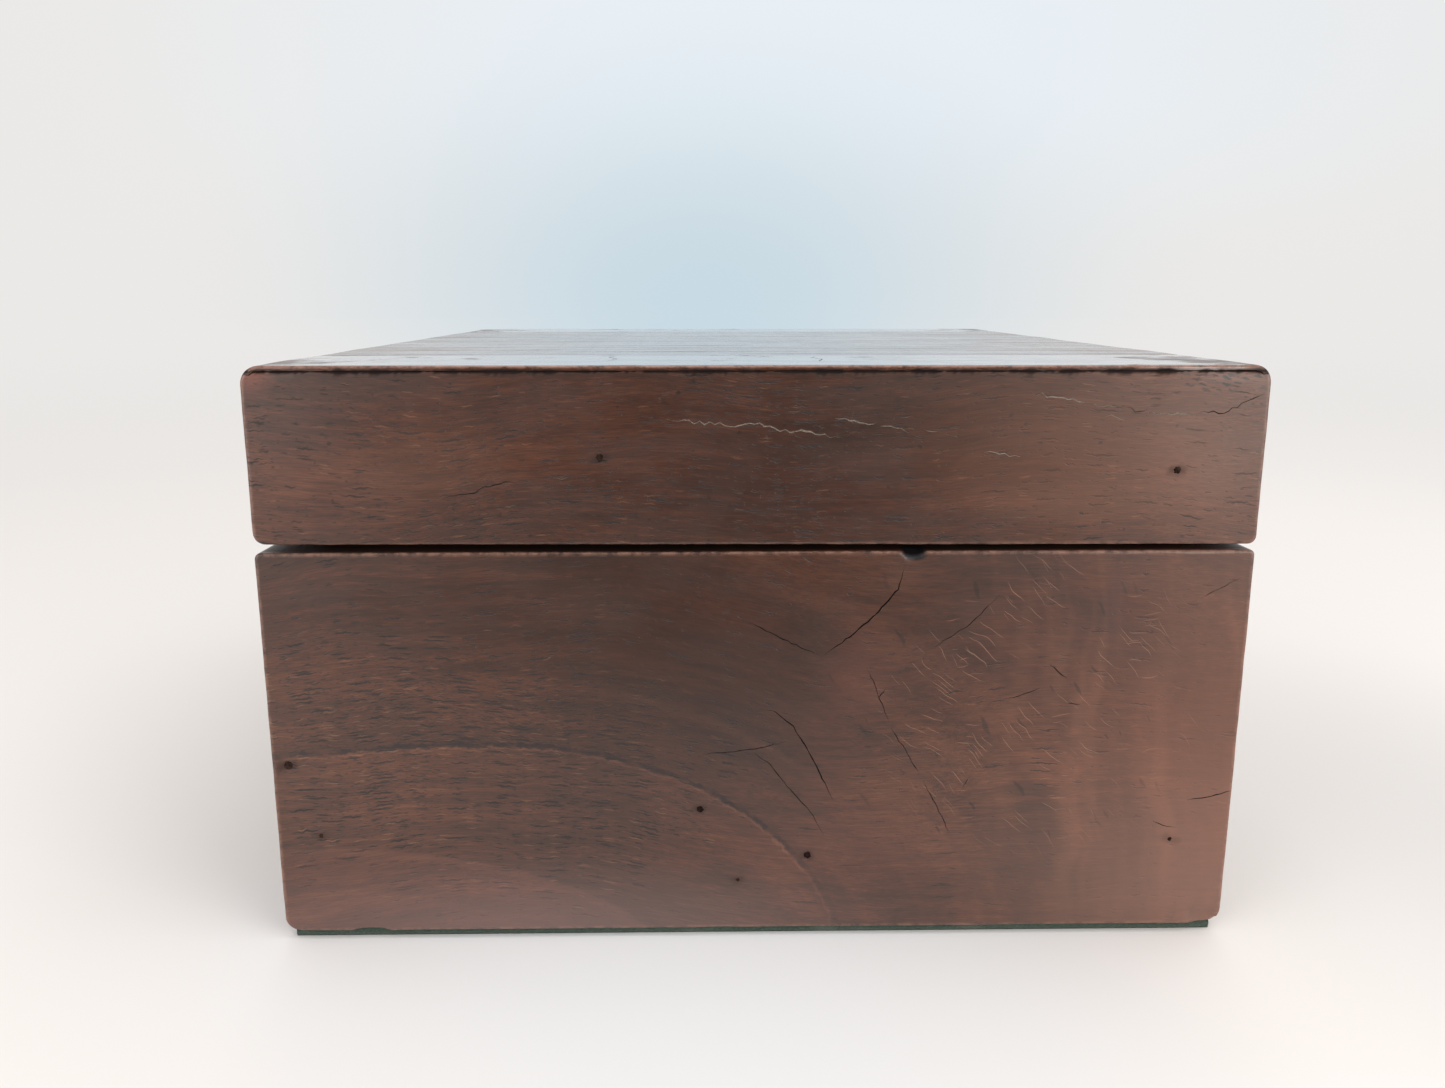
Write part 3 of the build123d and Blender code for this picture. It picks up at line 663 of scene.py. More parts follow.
class Form:
    """The worn outside of the body or of the lid."""

    RADIUS_WAVE, ARRIS_WAVE = 0.14, 0.22      # unevenness of the rounding, as a share
    LEAST_ARRIS = 0.35
    END_HOLLOW, SIDE_HOLLOW = 0.05, 0.045     # how deep the faces are worn

    def __init__(self, low_z, high_z, radii, seed, tilt=0.0):
        self.low_z, self.high_z, self.radii, self.seed, self.tilt = low_z, high_z, radii, seed, tilt

    def outward(self, points):
        """How far out of the inner rectangle each point is, and the rounding radius there."""
        x, y, z = points.T
        middle_z = (self.low_z + self.high_z) / 2
        radius = np.zeros(len(points))
        for (side_y, side_z), value in self.radii.items():
            here = (np.sign(y) * side_y >= 0) & (np.sign(z - middle_z) * side_z >= 0)
            wave = 1 + self.RADIUS_WAVE * ripple(x, x * 0 + 7 * side_y + 13 * side_z, self.seed + 5, 38.0)
            radius[here] = (value * wave)[here]
        core_y = np.clip(y, -SIDE_Y + radius, SIDE_Y - radius)
        core_z = np.clip(z, self.low_z + radius, self.high_z - radius)
        return np.stack((y - core_y, z - core_z), axis=1), core_y, core_z, radius

    def wear(self, points):
        """Moves points of the sharp box onto the worn one, and rounds what lies near its edges."""
        x = points[:, 0].copy()
        out, core_y, core_z, radius = self.outward(points)
        largest = np.abs(out).max(axis=1)
        length = np.hypot(out[:, 0], out[:, 1])
        direction = out / np.maximum(length, 1e-9)[:, None]
        depth = radius - largest
        inset = END_X - np.abs(x)
        arris = 1 + self.ARRIS_WAVE * ripple(points[:, 1], points[:, 2], self.seed + 9, 9.0)
        arris = np.clip(ARRIS_R * arris, self.LEAST_ARRIS, 0.95 * radius)
        a, b = np.maximum(arris - depth, 0), np.maximum(arris - inset, 0)
        corner = (a > 0) & (b > 0) & (length > 0)
        squeeze = np.where(corner, np.maximum(a, b) / np.maximum(np.hypot(a, b), 1e-9), 1.0)
        depth = np.where(corner, arris - a * squeeze, depth)
        inset = np.where(corner, arris - b * squeeze, inset)
        reach = np.where(length > 0, radius - depth, 0)
        y = core_y + direction[:, 0] * reach
        z = core_z + direction[:, 1] * reach
        waves = self.END_HOLLOW * (1 + ripple(points[:, 1], points[:, 2], self.seed + 1, 46.0))
        inset = inset + waves * np.exp(-inset / 2)
        x = np.sign(x) * (END_X - inset)
        sink = ripple(points[:, 0], points[:, 2] + points[:, 1], self.seed + 2, 52.0)
        sink = self.SIDE_HOLLOW * (1 + sink)
        sink = sink * np.exp(-np.maximum(depth, 0) / 2) * (length > 0)
        y, z = y - direction[:, 0] * sink, z - direction[:, 1] * sink
        drop = self.tilt * (0.5 - y / (2 * SIDE_Y)) * (self.high_z - z) / (self.high_z - self.low_z)
        return np.stack((x, y, z + drop), axis=1)

    def edge_wear(self, points):
        """1 on the outer edges, 0 a couple of millimetres from them."""
        out, _, _, radius = self.outward(points)
        depth = radius - np.hypot(out[:, 0], out[:, 1])
        inset = END_X - np.abs(points[:, 0])
        end_edge = 1 - np.clip((np.maximum(depth, inset) - 0.12) / 0.75, 0, 1)
        diagonal = np.clip(4 * np.abs(out[:, 0] * out[:, 1]) / radius ** 2, 0, 1)
        long_edge = diagonal * (depth < 0.4) * 0.7
        return np.clip(np.maximum(end_edge, long_edge), 0, 1)


BODY_FORM = Form(BASE_Z, RIM_Z, BODY_RADII, 100)
LID_FORM = Form(LID_BACK_Z, HEIGHT, LID_RADII, 200, LID_FRONT_Z - LID_BACK_Z)


def make_object(name, points, faces, material):
    """A mesh object from points in millimetres about the middle of the wood."""
    mesh = bpy.data.meshes.new(name)
    placed = (np.asarray(points) + (0, MIDDLE_Y, 0)) * MM
    mesh.from_pydata(placed.tolist(), [], [list(map(int, f)) for f in faces])
    mesh.materials.append(material)
    piece = bpy.data.objects.new(name, mesh)
    bpy.context.scene.collection.objects.link(piece)
    return piece


class Cutter:
    """Closed solids that are cut out of a board. Their kind sets the material of the faces they leave."""

    def __init__(self):
        self.solids = []

    def add(self, points, faces, kind):
        self.solids.append((points, faces, kind))

    def block(self, x, y, z, kind="bare"):
        corners = [(a, b, c) for a in x for b in y for c in z]
        faces = [(0, 1, 3, 2), (4, 6, 7, 5), (0, 4, 5, 1), (2, 3, 7, 6), (0, 2, 6, 4), (1, 5, 7, 3)]
        self.add(corners, faces, kind)

    def prism(self, outline, place, low, high, kind="bare"):
        """An outline in two coordinates, pushed from low to high along the third, by place(u, v, h)."""
        n = len(outline)
        points = [place(u, v, low) for u, v in outline] + [place(u, v, high) for u, v in outline]
        sides = [(i, (i + 1) % n, n + (i + 1) % n, n + i) for i in range(n)]
        self.add(points, sides + [tuple(range(n))[::-1], tuple(range(n, 2 * n))], kind)

    def rod(self, centre, radius, place, low, high, kind="bare", sides=20):
        angles = [2 * math.pi * i / sides for i in range(sides)]
        outline = [(centre[0] + radius * math.cos(a), centre[1] + radius * math.sin(a)) for a in angles]
        self.prism(outline, place, low, high, kind)

    def crack(self, route, place, width, depth, kind="dark", jag=0.12, seed=1):
        """A tapering groove with a V section along a route on a face, whose height is 0."""
        rng = random.Random(seed)
        line = []
        for (u0, v0), (u1, v1) in zip(route, route[1:]):
            count = max(2, round(math.hypot(u1 - u0, v1 - v0) / 0.9))
            for i in range(count):
                line.append(Vector((u0 + (u1 - u0) * i / count, v0 + (v1 - v0) * i / count)))
        line.append(Vector(route[-1]))
        above = 0.5
        points = []
        for i, here in enumerate(line):
            along = (line[min(i + 1, len(line) - 1)] - line[max(i - 1, 0)]).normalized()
            side = Vector((-along.y, along.x))
            here = here + side * rng.uniform(-jag, jag)
            share = i / (len(line) - 1)
            taper = max(0.12, min(1.0, 5 * share, 5 * (1 - share))) * rng.uniform(0.65, 1.25)
            half, deep = width / 2 * taper, depth * (0.4 + 0.6 * taper)
            half *= (above + deep) / deep
            points += [place(*(here + side * half), above), place(*(here - side * half), above)]
            points.append(place(*here, -deep))
        faces = [(0, 1, 2), tuple(3 * (len(line) - 1) + i for i in (2, 1, 0))]
        for i in range(len(line) - 1):
            a, b = 3 * i, 3 * i + 3
            faces += [(a, b, b + 1, a + 1), (a + 1, b + 1, b + 2, a + 2), (a + 2, b + 2, b, a)]
        self.add(points, faces, kind)

    def cracks(self, rows, place, seed, jag=0.12):
        """A groove for each row, which is a route, a width, a depth and, unless it is dark, a kind."""
        for number, (route, width, depth, *kind) in enumerate(rows):
            self.crack(route, place, width, depth, *kind, jag=jag, seed=seed + number)

    def make(self):
        """The solids as objects in a collection of their own."""
        tools = bpy.data.collections.new("cutters")
        for points, faces, kind in self.solids:
            piece = make_object("cutter", points, faces, MATERIAL_OF_KIND[kind])
            shape = bmesh.new()
            shape.from_mesh(piece.data)
            bmesh.ops.recalc_face_normals(shape, faces=shape.faces)
            bmesh.ops.triangulate(shape, faces=shape.faces)
            shape.to_mesh(piece.data)
            shape.free()
            tools.objects.link(piece)
        return tools


MATERIAL_OF_KIND = {"bare": BARE_WOOD, "dark": CRACK_DARK, "pale": CRACK_PALE}


def cut(piece, cutter):
    """Cuts the solids out of the piece and drops them."""
    tools = cutter.make()
    step = piece.modifiers.new("cut", "BOOLEAN")
    step.operand_type, step.collection = "COLLECTION", tools
    step.operation, step.solver = "DIFFERENCE", "MANIFOLD"
    step.material_mode = "TRANSFER"
    ready = piece.evaluated_get(bpy.context.evaluated_depsgraph_get())
    mesh = bpy.data.meshes.new_from_object(ready)
    piece.modifiers.clear()
    old = piece.data
    piece.data = mesh
    bpy.data.meshes.remove(old)
    for tool in list(tools.objects):
        data = tool.data
        bpy.data.objects.remove(tool)
        bpy.data.meshes.remove(data)
    bpy.data.collections.remove(tools)


def dent(points, centre, radii, direction, depth, seed):
    """Pushes in the points near a place, with an uneven outline."""
    offset = (points - centre) / radii
    rough = 1 + 0.25 * ripple(points[:, 1] * 3, points[:, 2] * 3 + points[:, 0] * 3, seed, 5.0)
    near = np.clip(1 - (offset ** 2).sum(axis=1) * rough, 0, 1)
    return points + np.array(direction) * (depth * near ** 0.7)[:, None]


def attributes(piece, form, dirt_and_painted_shade):
    """Stores edge wear, and dirt with painted shade, on the piece's points, for its material."""
    mesh = piece.data
    count = len(mesh.vertices)
    flat = np.empty(count * 3)
    mesh.vertices.foreach_get("co", flat)
    points = flat.reshape(-1, 3) / MM - (0, MIDDLE_Y, 0)
    for name, values in (("wear", form.edge_wear(points)), ("dirt_and_painted_shade", dirt_and_painted_shade(points))):
        layer = mesh.attributes.new(name, "FLOAT", "POINT")
        layer.data.foreach_set("value", np.clip(values, 0, 1).astype(np.float32))


def smudges(points, pins):
    """Stained wood round the pins of the end boards."""
    x, y, z = points.T
    total = np.zeros(len(points))
    for number, (pin_y, pin_z) in enumerate(pins):
        rng = random.Random(500 + number)
        lean, long, wide = rng.uniform(-0.4, 0.4), rng.uniform(1.0, 1.9), rng.uniform(0.75, 1.1)
        dy, dz = y - pin_y, z - pin_z
        along = dy * math.cos(lean) + dz * math.sin(lean)
        across = dz * math.cos(lean) - dy * math.sin(lean)
        uneven = 1 + 0.3 * ripple(y * 4, z * 4, 510 + number, 6.0)
        reach = np.hypot(along / long, across / wide) * uneven
        dark = 0.34 if (pin_y, pin_z) in HIDDEN_PINS else 0.55
        total = np.maximum(total, dark * np.clip(1.45 - reach, 0, 1))
    return total * (np.abs(x) > END_X - 1)


def rim_dirt_and_painted_shade(x, y, on_rim):
    """Dirt and painted shade in the gap between body and lid, clear of the outer faces."""
    return 0.45 * np.clip(np.minimum(END_X - np.abs(x), SIDE_Y - np.abs(y)) - 0.7, 0, 1) * on_rim


def body_dirt_and_painted_shade(points):
    """Stains round the pins, darker low down near the baize, dirt and painted shade in the gap under the
    lid, and painted shade in the chip.
    """
    x, y, z = points.T
    low = np.clip(1 - (z - BASE_Z) / 0.5, 0, 1) * 0.4
    rim = rim_dirt_and_painted_shade(x, y, z > RIM_Z - 0.4)
    # Painted shade: the chip at the top of the right end darkened.
    chip = 1.7 * np.clip(1.25 - np.hypot((y - 27.4) / 2.2, (z - RIM_Z) / 1.2), 0, 1) * (x > END_X - 2)
    return np.maximum.reduce((smudges(points, BODY_PINS), low, rim, chip))


def lap_dirt_and_painted_shade(points):
    """Dirt in the joint under the thin edge of the lid top, and in the joints across it; dirt and painted
    shade in the gap over the body.
    """
    x, y, z = points.T
    uneven = 1 + 0.9 * ripple(y, x, 31, 5.0) + 0.7 * ripple(y, x, 33, 1.6)
    below = LAP_Z - 0.1 - z
    band = np.clip(1.4 - np.abs(below) / np.maximum(0.34 * uneven, 0.05), 0, 1)
    joint = np.clip(1 - np.abs(np.abs(x) - TOP_JOINT_X) / 0.3, 0, 1) * (z > LAP_Z)
    rim = rim_dirt_and_painted_shade(x, y, z < LID_FRONT_Z + 0.4)
    return np.maximum.reduce((band, joint, rim, smudges(points, LID_PINS)))


def board(name, node, body, form, xs, ys, zs, material, cutter, absent=None, groove=None, dents=(),
          dirt_and_painted_shade=body_dirt_and_painted_shade):
    """One worn board, in place of its CAD node."""
    points, faces = grid_solid(xs, ys, zs, absent)
    sharp = points.copy()
    points = form.wear(points)
    if groove is not None:
        points = points + groove(sharp)
    for number, (centre, radii, direction, depth) in enumerate(dents):
        points = dent(points, np.array(centre), np.array(radii), direction, depth, 60 + number)
    piece = make_object(name, points, faces, material)
    if cutter.solids:
        cut(piece, cutter)
    attributes(piece, form, dirt_and_painted_shade)
    piece.data.shade_smooth()
    piece.data.set_sharp_from_angle(angle=math.radians(38))
    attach(piece, body)
    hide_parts(node)


# Each of these turns two coordinates of a face and a height above it into a point in millimetres.
def on_end(side):
    return lambda u, v, h: (side * (END_X + h), u, v)


def on_long_side(side):
    return lambda u, v, h: (u, side * (SIDE_Y + h), v)


def on_top(u, v, h):
    return (u, v, HEIGHT + h)


def across_x(u, v, h):
    return (h, u, v)


def wall_ticks(side, wall, face, step, extra=()):
    """Grid lines through a wall from its inner face to its worn outer one."""
    return ticks(*sorted((side * wall, side * face)), step, side < 0, side > 0, extra)


def across_ticks(step, mark):
    """Grid lines from front to back, with one at mark on either side of the middle."""
    return ticks(-SIDE_Y, SIDE_Y, step, True, True, (-mark, mark))


def long_ticks(limit):
    """Grid lines along a front or back board, with one by each end to keep its hairline narrow."""
    return ticks(-limit, limit, LONG_STEP, extra=(-limit + HAIRLINE_WIDTH, limit - HAIRLINE_WIDTH))


def pin_holes(cutter, place, pins):
    """Holes for the pins, narrower and uneven where the wood has closed over their heads."""
    for number, (u, v) in enumerate(pins):
        rng = random.Random(400 + number)
        least, most = (0.35, 0.65) if (u, v) in HIDDEN_PINS else (0.62, 0.95)
        outline = []
        for i in range(PIN_SIDES):
            angle = 2 * math.pi * i / PIN_SIDES
            radius = PIN_R * rng.uniform(least, most)
            outline.append((u + radius * math.cos(angle), v + radius * math.sin(angle)))
        cutter.prism(outline, place, -2 * SKIN, 1.0, "dark")
        cutter.rod((u, v), PIN_R, place, -PIN_HOLE, -SKIN, "dark")


# ---- body boards
RIGHT_END_CRACKS = (
    ([(25.9, 71.6), (24.8, 67.3), (20.9, 62.6), (16.5, 58.6), (12.0, 55.2)], 0.27, 0.5),
    ([(-1.6, 61.4), (3.1, 58.9), (7.6, 56.7), (11.2, 55.2)], 0.21, 0.35),
    ([(0.6, 45.2), (3.2, 44.5), (6.5, 41.7), (9.3, 37.2), (11.6, 32.3), (14.1, 27.2)], 0.23, 0.4),
    ([(-1.5, 37.5), (2.4, 34.3), (6.1, 29.4), (9.9, 25.1), (12.5, 20.3)], 0.18, 0.3),
    ([(19.8, 52.8), (22.2, 46.7), (23.8, 42.6)], 0.15, 0.25),
    ([(24.3, 41.2), (27.0, 37.1), (29.9, 32.2)], 0.17, 0.25),
    ([(30.6, 31.0), (33.4, 25.6), (35.9, 20.3)], 0.15, 0.25),
    ([(79.5, 26.8), (84.0, 27.6), (87.6, 28.6)], 0.25, 0.35),
    ([(-11.0, 36.3), (-5.8, 36.8), (0.5, 37.6), (5.6, 38.8)], 0.18, 0.3),
    ([(30.9, 56.1), (37.8, 60.7), (42.9, 66.2)], 0.16, 0.25),
    ([(79.0, 65.4), (85.6, 69.0)], 0.16, 0.25),
    ([(52.6, 53.2), (54.2, 51.8), (55.8, 50.6)], 0.26, 0.25),
    ([(44.5, 46.6), (48.0, 47.5), (51.0, 48.8)], 0.18, 0.2),
    ([(56.1, 45.9), (58.6, 45.6)], 0.22, 0.2),
    ([(21.8, 47.0), (23.2, 48.8)], 0.22, 0.2),
    ([(37.9, 29.6), (39.2, 31.8)], 0.22, 0.2),
    ([(73.4, 22.8), (75.5, 21.9), (78.2, 21.3)], 0.22, 0.2),
)
RIGHT_END_DENTS = (
    ((END_X, 27.4, RIM_Z), (2.2, 2.2, 1.4), (-0.6, 0, -0.8), 0.85),
    ((END_X, -86.5, BASE_Z + 1), (1.6, 2.4, 1.6), (-0.5, 0.6, 0.6), 0.3),
    ((END_X, -72.0, BASE_Z), (1.2, 4.0, 0.8), (-0.6, 0, 0.8), 0.5),
    ((END_X, 84.5, BASE_Z + 1.4), (1.6, 3.2, 2.0), (-0.6, -0.5, 0.6), 0.8),
    ((END_X, -85.5, 34.8), (0.9, 1.6, 1.2), (-1, 0, 0), 0.35),
)
LEFT_END_CRACKS = (
    ([(40.0, 72.0), (37.0, 60.0), (30.0, 50.0), (27.0, 41.0)], 0.34, 0.5),
    ([(-60.0, 24.0), (-48.0, 23.0), (-37.0, 24.2)], 0.28, 0.35),
    ([(-20.0, 58.0), (-2.0, 56.4), (9.0, 57.0)], 0.22, 0.3, "pale"),
)
LEFT_END_DENTS = (
    ((-END_X, 60.0, RIM_Z), (1.6, 2.4, 1.2), (0.6, 0, -0.8), 0.6),
    ((-END_X, -85.0, BASE_Z + 1), (1.6, 2.4, 1.6), (0.5, 0.6, 0.6), 0.7),
    ((-END_X, 20.0, BASE_Z), (1.2, 4.0, 0.8), (0.6, 0, 0.8), 0.5),
)
FRONT_CRACKS = (
    ([(-92.0, 30.0), (-74.0, 29.0), (-58.0, 31.0)], 0.3, 0.4),
    ([(60.0, 52.0), (75.0, 51.0), (88.0, 52.6)], 0.3, 0.4),
)
FRONT_DENTS = (
    ((40.0, -SIDE_Y, RIM_Z), (3.0, 1.2, 1.2), (0, 0.7, -0.7), 0.5),
    ((-70.0, -SIDE_Y, BASE_Z), (4.0, 1.4, 1.4), (0, 0.7, 0.7), 0.5),
)


def body_end(name, side, material, step, cracks, seed, dents):
    cutter = Cutter()
    pin_holes(cutter, on_end(side), BODY_PINS)
    cutter.cracks(cracks, on_end(side), seed)

    def absent(x, y, z):
        """The rebates at the two corners, where the front and back boards come in."""
        return (np.abs(y) > WALL_Y) & (np.abs(x) < FRONT_END_X)

    board(f"{name}_worn", name, "caddy_body", BODY_FORM,
          wall_ticks(side, WALL_X, END_X, END_CORE_STEP, (side * FRONT_END_X,)), across_ticks(step, WALL_Y),
          ticks(BASE_Z, RIM_Z, step, True, True), material, cutter, absent, dents=dents)


def end_hairline(limit):
    """Sinks the outer points at the ends of a long board, so that its end joints show as hairlines."""
    def groove(points):
        move = np.zeros_like(points)
        at_end = np.abs(np.abs(points[:, 0]) - limit) < TOUCHING
        move[at_end, 1] = -np.sign(points[at_end, 1]) * 0.09
        return move
    return groove


def keyhole(grow, middle_z):
    """A round eye with a slot below it, as an outline about the key pin."""
    eye, slot, drop = 1.9 + grow, 0.85 + grow, 5.8 + grow
    start = math.asin(slot / eye)
    angles = [-math.pi / 2 + start + (2 * math.pi - 2 * start) * i / 20 for i in range(21)]
    arc = [(eye * math.cos(a), eye * math.sin(a)) for a in angles]
    return [(u, middle_z + v) for u, v in arc + [(-slot, -drop), (slot, -drop)]]


def lock_cuts(cutter):
    """The bed of the lock and its flange, the keyhole and the bed of its escutcheon."""
    low, high = box_mm("lock_case")
    key_low, key_high = box_mm("lock_key_pin")
    key_z = (key_low[2] + key_high[2]) / 2
    flange, overhang = 1.4, 5.0         # thickness of the lock's flange, and how far it stands out
    escutcheon, clear = 2.2, 0.05
    case_x = high[0] - overhang
    front_y = low[1] - MIDDLE_Y
    cutter.block((-case_x, case_x), (front_y, -WALL_Y + 2), (low[2], high[2] - flange))
    cutter.block((low[0], high[0]), (front_y, -WALL_Y + 2), (high[2] - flange, high[2] + 3))
    cutter.prism(keyhole(1.0, key_z), on_long_side(-1), -escutcheon, 1.0)
    depth = -SIDE_Y - front_y + clear
    cutter.prism(keyhole(0.0, key_z), on_long_side(-1), depth, -escutcheon + clear)


def hinge_cuts(cutter, upper):
    """The beds of the leaves and the room for the knuckles."""
    leaf, knuckle_r, clear = 1.2, 1.8, 0.3
    for side in ("left", "right"):
        low, high = box_mm(f"{side}_hinge_lower_leaf")
        pin_low, pin_high = box_mm(f"{side}_hinge_pin")
        axis = ((pin_low[1] + pin_high[1]) / 2 - MIDDLE_Y, (pin_low[2] + pin_high[2]) / 2)
        z = (LID_BACK_Z - 3, LID_BACK_Z + leaf) if upper else (RIM_Z - leaf, RIM_Z + 3)
        cutter.block((low[0], high[0]), (low[1] - MIDDLE_Y, axis[0]), z)
        cutter.rod(axis, knuckle_r, across_x, low[0] - clear, high[0] + clear, sides=28)


def body_long_board(name, side, material, cutter, dents=()):
    board(f"{name}_worn", name, "caddy_body", BODY_FORM, long_ticks(FRONT_END_X),
          wall_ticks(side, WALL_Y, SIDE_Y, CORE_STEP), ticks(BASE_Z, RIM_Z, SIDE_STEP, True, True), material,
          cutter, groove=end_hairline(FRONT_END_X), dents=dents)


def body_front():
    cutter = Cutter()
    lock_cuts(cutter)
    cutter.cracks(FRONT_CRACKS, on_long_side(-1), 40)
    body_long_board("body_front", -1, MAHOGANY_FRONT, cutter, FRONT_DENTS)


def body_back():
    cutter = Cutter()
    hinge_cuts(cutter, upper=False)
    cutter.crack([(10.0, 40.0), (28.0, 39.0), (44.0, 40.4)], on_long_side(1), 0.3, 0.4, seed=51)
    body_long_board("body_back", 1, MAHOGANY_BACK, cutter)


# ---- lid boards
LID_RIGHT_END_CRACKS = (
    ([(-16.6, 97.4), (-10.2, 96.8), (-5.0, 96.4), (0.1, 96.6), (2.7, 95.7), (7.2, 95.2), (12.2, 94.5),
      (15.6, 94.2)], 0.26, 0.3, "pale"),
    ([(13.0, 97.5), (18.1, 96.8), (20.4, 96.6)], 0.24, 0.3, "pale"),
    ([(20.9, 96.4), (24.4, 95.5), (25.8, 95.1)], 0.20, 0.3, "pale"),
    ([(28.2, 95.7), (30.6, 95.4)], 0.14, 0.2, "pale"),
    ([(46.6, 101.8), (52.0, 100.8), (56.7, 100.4)], 0.22, 0.25, "pale"),
    ([(57.4, 100.1), (60.0, 99.5), (62.4, 99.3)], 0.14, 0.25, "pale"),
    ([(63.2, 99.1), (66.4, 98.5)], 0.14, 0.25),
    ([(66.8, 98.4), (70.0, 98.1), (73.0, 98.2), (75.2, 98.5)], 0.20, 0.25, "pale"),
    ([(75.6, 98.3), (80.0, 98.5), (83.0, 99.7), (86.9, 101.3)], 0.2, 0.3),
    ([(59.6, 98.0), (61.4, 97.4), (63.0, 97.3)], 0.16, 0.2, "pale"),
    ([(39.0, 91.8), (42.5, 91.2), (45.2, 90.7)], 0.22, 0.25, "pale"),
    ([(-55.2, 83.5), (-49.9, 84.6), (-44.7, 86.4), (-41.0, 86.6)], 0.19, 0.25),
)
LID_RIGHT_END_DENTS = (
    ((END_X, 81.0, LAP_Z), (1.2, 6.0, 1.6), (-0.8, 0, -0.5), 0.12),
    ((END_X, -82.0, LAP_Z), (1.2, 4.0, 1.2), (-0.8, 0, -0.5), 0.1),
)
LID_LEFT_END_CRACKS = (
    ([(-50.0, 92.0), (-36.0, 91.2), (-20.0, 91.8)], 0.3, 0.3, "pale"),
    ([(20.0, 86.0), (38.0, 85.0), (52.0, 85.6)], 0.26, 0.3),
)
TOP_RIGHT_CRACKS = (
    ([(96.0, -27.0), (89.0, -25.5), (82.0, -27.5), (76.0, -26.0)], 0.24, 0.3),
    ([(98.0, 11.0), (90.0, 12.5), (84.0, 11.0), (78.0, 12.5)], 0.24, 0.3),
)
TOP_MIDDLE_CRACKS = (               # start, stop and x of each
    (-82.0, -20.0, 70.5), (-10.0, 60.0, 68.0), (-60.0, 20.0, 61.0), (10.0, 84.0, 55.0),
    (-70.0, -25.0, 40.0), (-5.0, 50.0, 12.0), (-60.0, 10.0, -30.0),
)


def lap_groove(points):
    """A small valley where the walls meet the thin edge of the top."""
    move = np.zeros_like(points)
    at_lap = np.abs(points[:, 2] - LAP_Z) < TOUCHING
    depth = 0.14 * (1 + 0.5 * ripple(points[:, 1], points[:, 0], 77, 7.0))
    for axis, limit in ((0, END_X), (1, SIDE_Y)):
        outer = at_lap & (np.abs(np.abs(points[:, axis]) - limit) < TOUCHING)
        move[outer, axis] = -(np.sign(points[:, axis]) * depth)[outer]
    return move


def top_groove(points):
    """The same valley, and one along each joint across the top."""
    move = lap_groove(points)
    at_joint = np.abs(np.abs(points[:, 0]) - TOP_JOINT_X) < TOUCHING
    at_joint &= np.abs(points[:, 2] - HEIGHT) < TOUCHING
    move[at_joint, 2] = -0.3
    return move


def lid_wall_ticks(step):
    """Grid lines up a wall of the lid, closer together under the lap."""
    return ticks(LID_BACK_Z, LAP_Z, step, True, False, (LID_UNDER, LAP_Z - 0.3, LAP_Z - 0.15))


def lid_end(name, side, material, step, cracks, dents=()):
    cutter = Cutter()
    pin_holes(cutter, on_end(side), LID_PINS)
    cutter.cracks(cracks, on_end(side), 80, 0.34)

    def absent(x, y, z):
        return (np.abs(x) < LID_FRONT_END_X) & ((np.abs(y) > LID_WALL_Y) | (z > LID_UNDER))

    board(f"{name}_worn", name, "lid", LID_FORM,
          wall_ticks(side, LID_WALL_X, END_X, END_CORE_STEP, (side * LID_FRONT_END_X,)),
          across_ticks(step, LID_WALL_Y), lid_wall_ticks(step), material, cutter, absent, lap_groove,
          dents, lap_dirt_and_painted_shade)


def lid_long_board(name, side, material):
    cutter = Cutter()
    if side < 0:
        low, high = box_mm("link_plate")
        cutter.block((low[0], high[0]), (low[1] - MIDDLE_Y, -LID_WALL_Y + 1), (LID_BACK_Z - 3, high[2]))
    else:
        hinge_cuts(cutter, upper=True)

    def absent(x, y, z):
        return (np.abs(y) < LAP_Y) & (z > LID_UNDER)

    def groove(points):
        return lap_groove(points) + end_hairline(LID_FRONT_END_X)(points)

    board(f"{name}_worn", name, "lid", LID_FORM, long_ticks(LID_FRONT_END_X),
          wall_ticks(side, LID_WALL_Y, SIDE_Y, CORE_STEP, (side * LAP_Y,)), lid_wall_ticks(SIDE_STEP),
          material, cutter, absent, groove, (), lap_dirt_and_painted_shade)


def top_middle_cracks():
    """Long cracks along the grain, bowed a little to one side and the other in turn."""
    rows = []
    for number, (start, stop, x) in enumerate(TOP_MIDDLE_CRACKS):
        bow = 1.5 if number % 2 else -1.2
        rows.append(([(x, start), (x + bow, (start + stop) / 2), (x + 0.4 * bow, stop)], 0.4, 0.5))
    return rows


def lid_top_board(name, x_low, x_high, material, step):
    cutter = Cutter()
    if name == "right":
        cutter.cracks(TOP_RIGHT_CRACKS, on_top, 120)
    if name == "middle":
        cutter.cracks(top_middle_cracks(), on_top, 130, 0.2)
    extra = [x_low + 0.3, x_high - 0.3] + [x for x in (-LAP_X, LAP_X) if x_low < x < x_high]
    zs = sorted([LID_UNDER, LAP_Z, LAP_Z + 0.06, LAP_Z + 0.22] + [HEIGHT - f for f in FINE[5::-1]])

    def absent(x, y, z):
        """Below the thin edge that laps over the walls."""
        return ((np.abs(y) > LAP_Y) | (np.abs(x) > LAP_X)) & (z < LAP_Z)

    board(f"lid_top_{name}_worn", f"lid_top_{name}_board", "lid", LID_FORM,
          ticks(x_low, x_high, step, x_low == -END_X, x_high == END_X, extra), across_ticks(step, LAP_Y),
          np.array(zs), material, cutter, absent, top_groove, (), lap_dirt_and_painted_shade)


